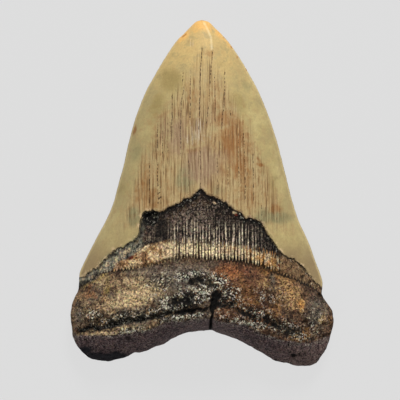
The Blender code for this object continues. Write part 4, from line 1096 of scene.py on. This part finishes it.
# %% The root and its basal face
PEPPERED = ("pepper", 0.08, 0.7, "clot", 1.1)
ROOT = [
    ("sandy root", 0.82, [("x", -6, -18, "cloud", 14), ("clot", 0.34, 0.54)]),
    ("root dark", 0.6, [("clot", 0.52, 0.4)]),
    ("rust root", 0.5, [("x", 2, 8, "clot", 6), ("x", 28, 18, "clot", 8)]),
    ("root dark", 0.7, [("clot", 0.5, 0.38), ("x", 0, 8)]),
    ("ash", 0.5, [("cloud", 0.48, 0.6), ("x", 12, -4)]),
    ("rust root", 0.55, [("clot", 0.5, 0.64), ("x", -4, 12)]),
    ("rust root", 0.5, [("clot", 0.48, 0.6), ("x", -30, -38)]),
    ("ochre", 0.3, [("cloud", 0.5, 0.4), ("x", 6, 26)]),
    ("ash", 0.7, [("ash", 0.15, 0.7, "clot", 0.9)]),
    ("olive root", 0.7, [("olive", 0.15, 0.8, "clot", 0.9)]),
    ("rust bright", 0.75, [("rust", 0.25, 1, "clot", 1.1)]),
    # Partly painted highlight: the tan patches on the root's upper left, which faces the light.
    ("tan", 0.95, [("tan", 0.1, 0.8, "clot", 0.7)]),
    ("ochre", 0.85, [("tan", 0.05, 0.9, "clot", 0.5), ("x", 0, 20)]),
    ("moss black", 0.88, [PEPPERED, ("grit", 0.8, 0.45, "clot", 0.8)]),
    ("soot_and_shade", 0.95, [("soot_and_shade", 0.15, 0.95, "dust", 1.6)]),
    ("fleck", 0.9, [PEPPERED, ("dust", 0.56, 0.82, "sand", 1.2), ("clot", 0.4, 0.58)]),
    ("fleck", 0.85, [("chalk", 0.15, 0.8, "clot", 1.2), ("dust", 0.44, 0.7, "sand", 1.2)]),
    # Painted shade in the neck groove: black bands just below the neck, across the middle and at both
    # sides.
    ("soot_and_shade", 0.85, [("neck_mm", -1.5, -0.2, "flute", 1.2), ("clot", 0.42, 0.56)]),
    ("soot_and_shade", 0.8, [("neck_mm", -1.4, -0.5, "clot", 0.9), ("x", 21, 25)]),
    ("soot_and_shade", 0.8, [("neck_mm", -1.2, -0.4, "clot", 0.9), ("x", -22, -26)]),
]  # fmt: skip
BASAL = [
    ("basal dark", 0.55, [("clot", 0.48, 0.36)]),
    ("basal light", 0.3, [("sand", 0.5, 0.64)]),
    ("basal warm", 0.5, [("clot", 0.5, 0.62)]),
    ("basal warm", 0.7, [("x", 20, 38, "cloud", 16)]),
    ("basal dark", 0.8, [("dust", 0.32, 0.22)]),
    ("fleck", 0.35, [("dust", 0.6, 0.8), ("base_mm", -2.4, 0)]),
    # Painted shadow: bluish black on the basal face of the left lobe, where its soot ellipses lie.
    ("painted lobe shadow", 0.95, [("soot_and_shade", 0.2, 0.8, "clot", 0.8), ("x", -22, -28)]),
]  # fmt: skip
print(len(ROOT), "layers on the root,", len(BASAL), "on its basal face")

# %% The tissues, one over the other, and painted shade in the hollows
TISSUES = [
    ("root", ROOT, ("base_mm", -0.5, 0.5, "sand", 1.2)),
    ("bourlette", BOURLETTE, ("neck_mm", -0.4, 0.4, "flute", 0.8)),
    ("enamel", ENAMEL, ON_ENAMEL),
]
SHADED_HOLLOWS = [
    # Painted shade in the cuts: split, furrows, pits and the sprung chip turn near black the deeper they
    # are, with a few pale flecks in the deeper cuts on the left.
    ("hollow", 0.97, [("hollow", 0.35, 0.95, "dust", 1)]),
    ("fleck", 0.3, [("hollow", 0.6, 1.2), ("dust", 0.6, 0.8), ("x", -12, -14)]),
]
surface = painted(colour["basal"], BASAL)
for ground, layers, test in TISSUES:
    inputs = {0: mask_of(1.0, [test]), 6: surface, 7: painted(colour[ground], layers)}
    surface = put("ShaderNodeMix", inputs, data_type="RGBA")
surface = painted(surface, SHADED_HOLLOWS)
print(len(tree.nodes), "nodes lay the colours")

# %% Mineral grain, and painted light on it: each grain is darker or lighter than the tissue around it. The grit and sand that raise the bump also brighten the colour, so raised grains carry a painted highlight and pits a painted shade.
GAINS = {"grit": 1.5, "dust": 1.5, "sand": 1.8}  # how fast brightness grows with each pattern
TINT_SPREAD = 0.22  # how far red, green and blue of one grain may differ
# Grain hardly shows on enamel, and is a little weaker on the basal face and on the bourlette.
on_enamel = mask_of(1.0, [ON_ENAMEL])
grain_and_relief_light = 0.0
for name, gain in GAINS.items():
    grain_and_relief_light = put("ShaderNodeMath", {0: field[name], 1: gain, 2: grain_and_relief_light}, operation="MULTIPLY_ADD")
on_base = mask_of(0.3, [("base_mm", 0.2, -0.6)])
on_ribs = mask_of(0.2, [("neck_mm", -0.2, 0.4), ("enamel_mm", 0.0, -0.4)])
calm = put("ShaderNodeMath", {0: on_enamel, 1: on_base}, operation="ADD")
calm = put("ShaderNodeMath", {0: calm, 1: on_ribs}, operation="ADD")
strength = put("ShaderNodeMapRange", {"Value": calm, "To Min": 1.0, "To Max": 0.08})
middle = put("ShaderNodeMath", {0: grain_and_relief_light, 1: sum(GAINS.values()) / 2}, operation="SUBTRACT")
# Brightness of each grain: partly its own tone, partly painted light that follows the bump's height.
grain_and_light_factor = put("ShaderNodeMath", {0: middle, 1: strength, 2: 1.0}, operation="MULTIPLY_ADD")
grain_and_light_factor = put("ShaderNodeClamp", {"Value": grain_and_light_factor, "Min": 0.12, "Max": 1.9})
spread = put("ShaderNodeMath", {0: strength, 1: TINT_SPREAD}, operation="MULTIPLY")
lowest = put("ShaderNodeMath", {0: spread, 1: -0.5, 2: 1.0}, operation="MULTIPLY_ADD")
tint = put("ShaderNodeVectorMath", {0: pattern["grit"], 1: spread, 2: lowest}, operation="MULTIPLY_ADD")
surface = put("ShaderNodeVectorMath", {0: surface, 1: tint}, operation="MULTIPLY")
surface = put("ShaderNodeVectorMath", {0: surface, "Scale": grain_and_light_factor}, operation="SCALE")
tree.links.new(surface, skin.inputs["Base Color"])
print(len(tree.nodes), "nodes so far")

# %% [markdown]
# ## Gloss and bump
#
# Worn enamel keeps a satin gloss; dentine and root have none. The finest relief is too small for the
# mesh: the grain of the root, the ribs, the open cracks. Two Bump nodes carry it, each with its
# depth in metres.

# %% Roughness and bump
gloss = put("ShaderNodeMapRange", {"Value": on_enamel, "To Min": 0.82, "To Max": 0.46})
uneven = {0: pattern["clot"], 1: 0.2, 2: gloss}
tree.links.new(put("ShaderNodeMath", uneven, operation="MULTIPLY_ADD"), skin.inputs["Roughness"])
skin.inputs["Specular IOR Level"].default_value = 0.2
off_enamel = mask_of(1.0, [("enamel_mm", 0.3, -0.3)])
sandy = put("ShaderNodeMath", {0: pattern["grit"], 1: 0.4, 2: pattern["sand"]}, operation="MULTIPLY_ADD")
sandy = put("ShaderNodeMath", {0: sandy, 1: off_enamel}, operation="MULTIPLY")
grain = put("ShaderNodeBump", {"Height": sandy, "Strength": 0.8, "Distance": 0.0011})
ribbed = mask_of(1.0, [("arch_mm", 0.0, 4.0), ABOVE_MARGINS, ("enamel_mm", -0.3, 0.3)])
fluted = mask_of(1.0, [("neck_mm", -0.5, 0.8), ("enamel_mm", 0.3, -0.3)])
ribbed = put("ShaderNodeMath", {0: ribbed, 1: fluted}, operation="ADD")
ribbed = put("ShaderNodeMath", {0: pattern["rib"], 1: ribbed}, operation="MULTIPLY")
open_crack = mask_of(0.3, [("crack_near", 0.05, 0.35), ("enamel_mm", -0.05, 0.1)])
ribbed = put("ShaderNodeMath", {0: ribbed, 1: open_crack}, operation="ADD")
ribs = put("ShaderNodeBump", {"Height": ribbed, "Strength": 0.45, "Distance": 0.0003, "Normal": grain})
tree.links.new(ribs, skin.inputs["Normal"])
shape.materials.append(material)
print(len(tree.nodes), "nodes in", material.name)

# %% [markdown]
# ## A pale sheet, soft light, and a camera straight above
#
# The tooth lies on a plain light grey sheet under two soft lamps. Most of the light comes from beyond
# the tip. The sheet glows by itself, as a light table does, so that the shadow stays faint. The
# camera looks straight down with a long lens, from 0.8 m.

# %% The sheet
SHEET = 3.0  # metres from its middle to an edge
sheet_shape = bpy.data.meshes.new("sheet")
corners = [(SHEET * i, SHEET * j, 0.0) for i, j in ((-1, -1), (1, -1), (1, 1), (-1, 1))]
sheet_shape.from_pydata(corners, [], [(0, 1, 2, 3)])
sheet = bpy.data.objects.new("sheet", sheet_shape)
bpy.context.scene.collection.objects.link(sheet)
paper = bpy.data.materials.new("matt_light_grey_paper")
paper.use_nodes = True
PAPER = {  # its own colour is dark, because most of its brightness is its glow
    "Base Color": linear("3c3c3c"), "Roughness": 1.0, "Specular IOR Level": 0.0,
    "Emission Color": linear("ffffff"), "Emission Strength": 0.68,
}  # fmt: skip
for socket, value in PAPER.items():
    paper.node_tree.nodes["Principled BSDF"].inputs[socket].default_value = value
sheet_shape.materials.append(paper)
print("the sheet is", 2 * SHEET, "m wide")


# %% Lamps and world
def lamp(name, place, size, power):
    """A square area lamp that faces the tooth."""
    light = bpy.data.lights.new(name, "AREA")
    light.shape, light.size, light.energy = "SQUARE", size, power
    holder = bpy.data.objects.new(name, light)
    holder.location = place
    holder.rotation_euler = (-Vector(place)).to_track_quat("-Z", "Y").to_euler()
    bpy.context.scene.collection.objects.link(holder)


lamp("key", (0.18, 0.9, 0.85), 0.35, 13.5)
lamp("fill", (-0.35, -0.35, 1.25), 1.2, 3.4)
ROOM_LIGHT = 0.26
world = bpy.data.worlds.new("studio")
world.use_nodes = True
world.node_tree.nodes["Background"].inputs["Color"].default_value = (1.0, 1.0, 1.0, 1.0)
world.node_tree.nodes["Background"].inputs["Strength"].default_value = ROOM_LIGHT
bpy.context.scene.world = world
print(len(bpy.data.lights), "lamps")

# %% The camera
LENS, SENSOR = 200.0, 36.0
CAMERA_PLACE = (-0.00074, -0.00246, 0.8106)  # metres; a touch off the middle of the tooth
view = bpy.data.cameras.new("camera")
view.lens, view.sensor_width = LENS, SENSOR
camera = bpy.data.objects.new("camera", view)
camera.location = CAMERA_PLACE
bpy.context.scene.collection.objects.link(camera)
bpy.context.scene.camera = camera
bpy.context.scene.view_settings.view_transform = "Standard"
print("camera", [round(value, 4) for value in camera.location])
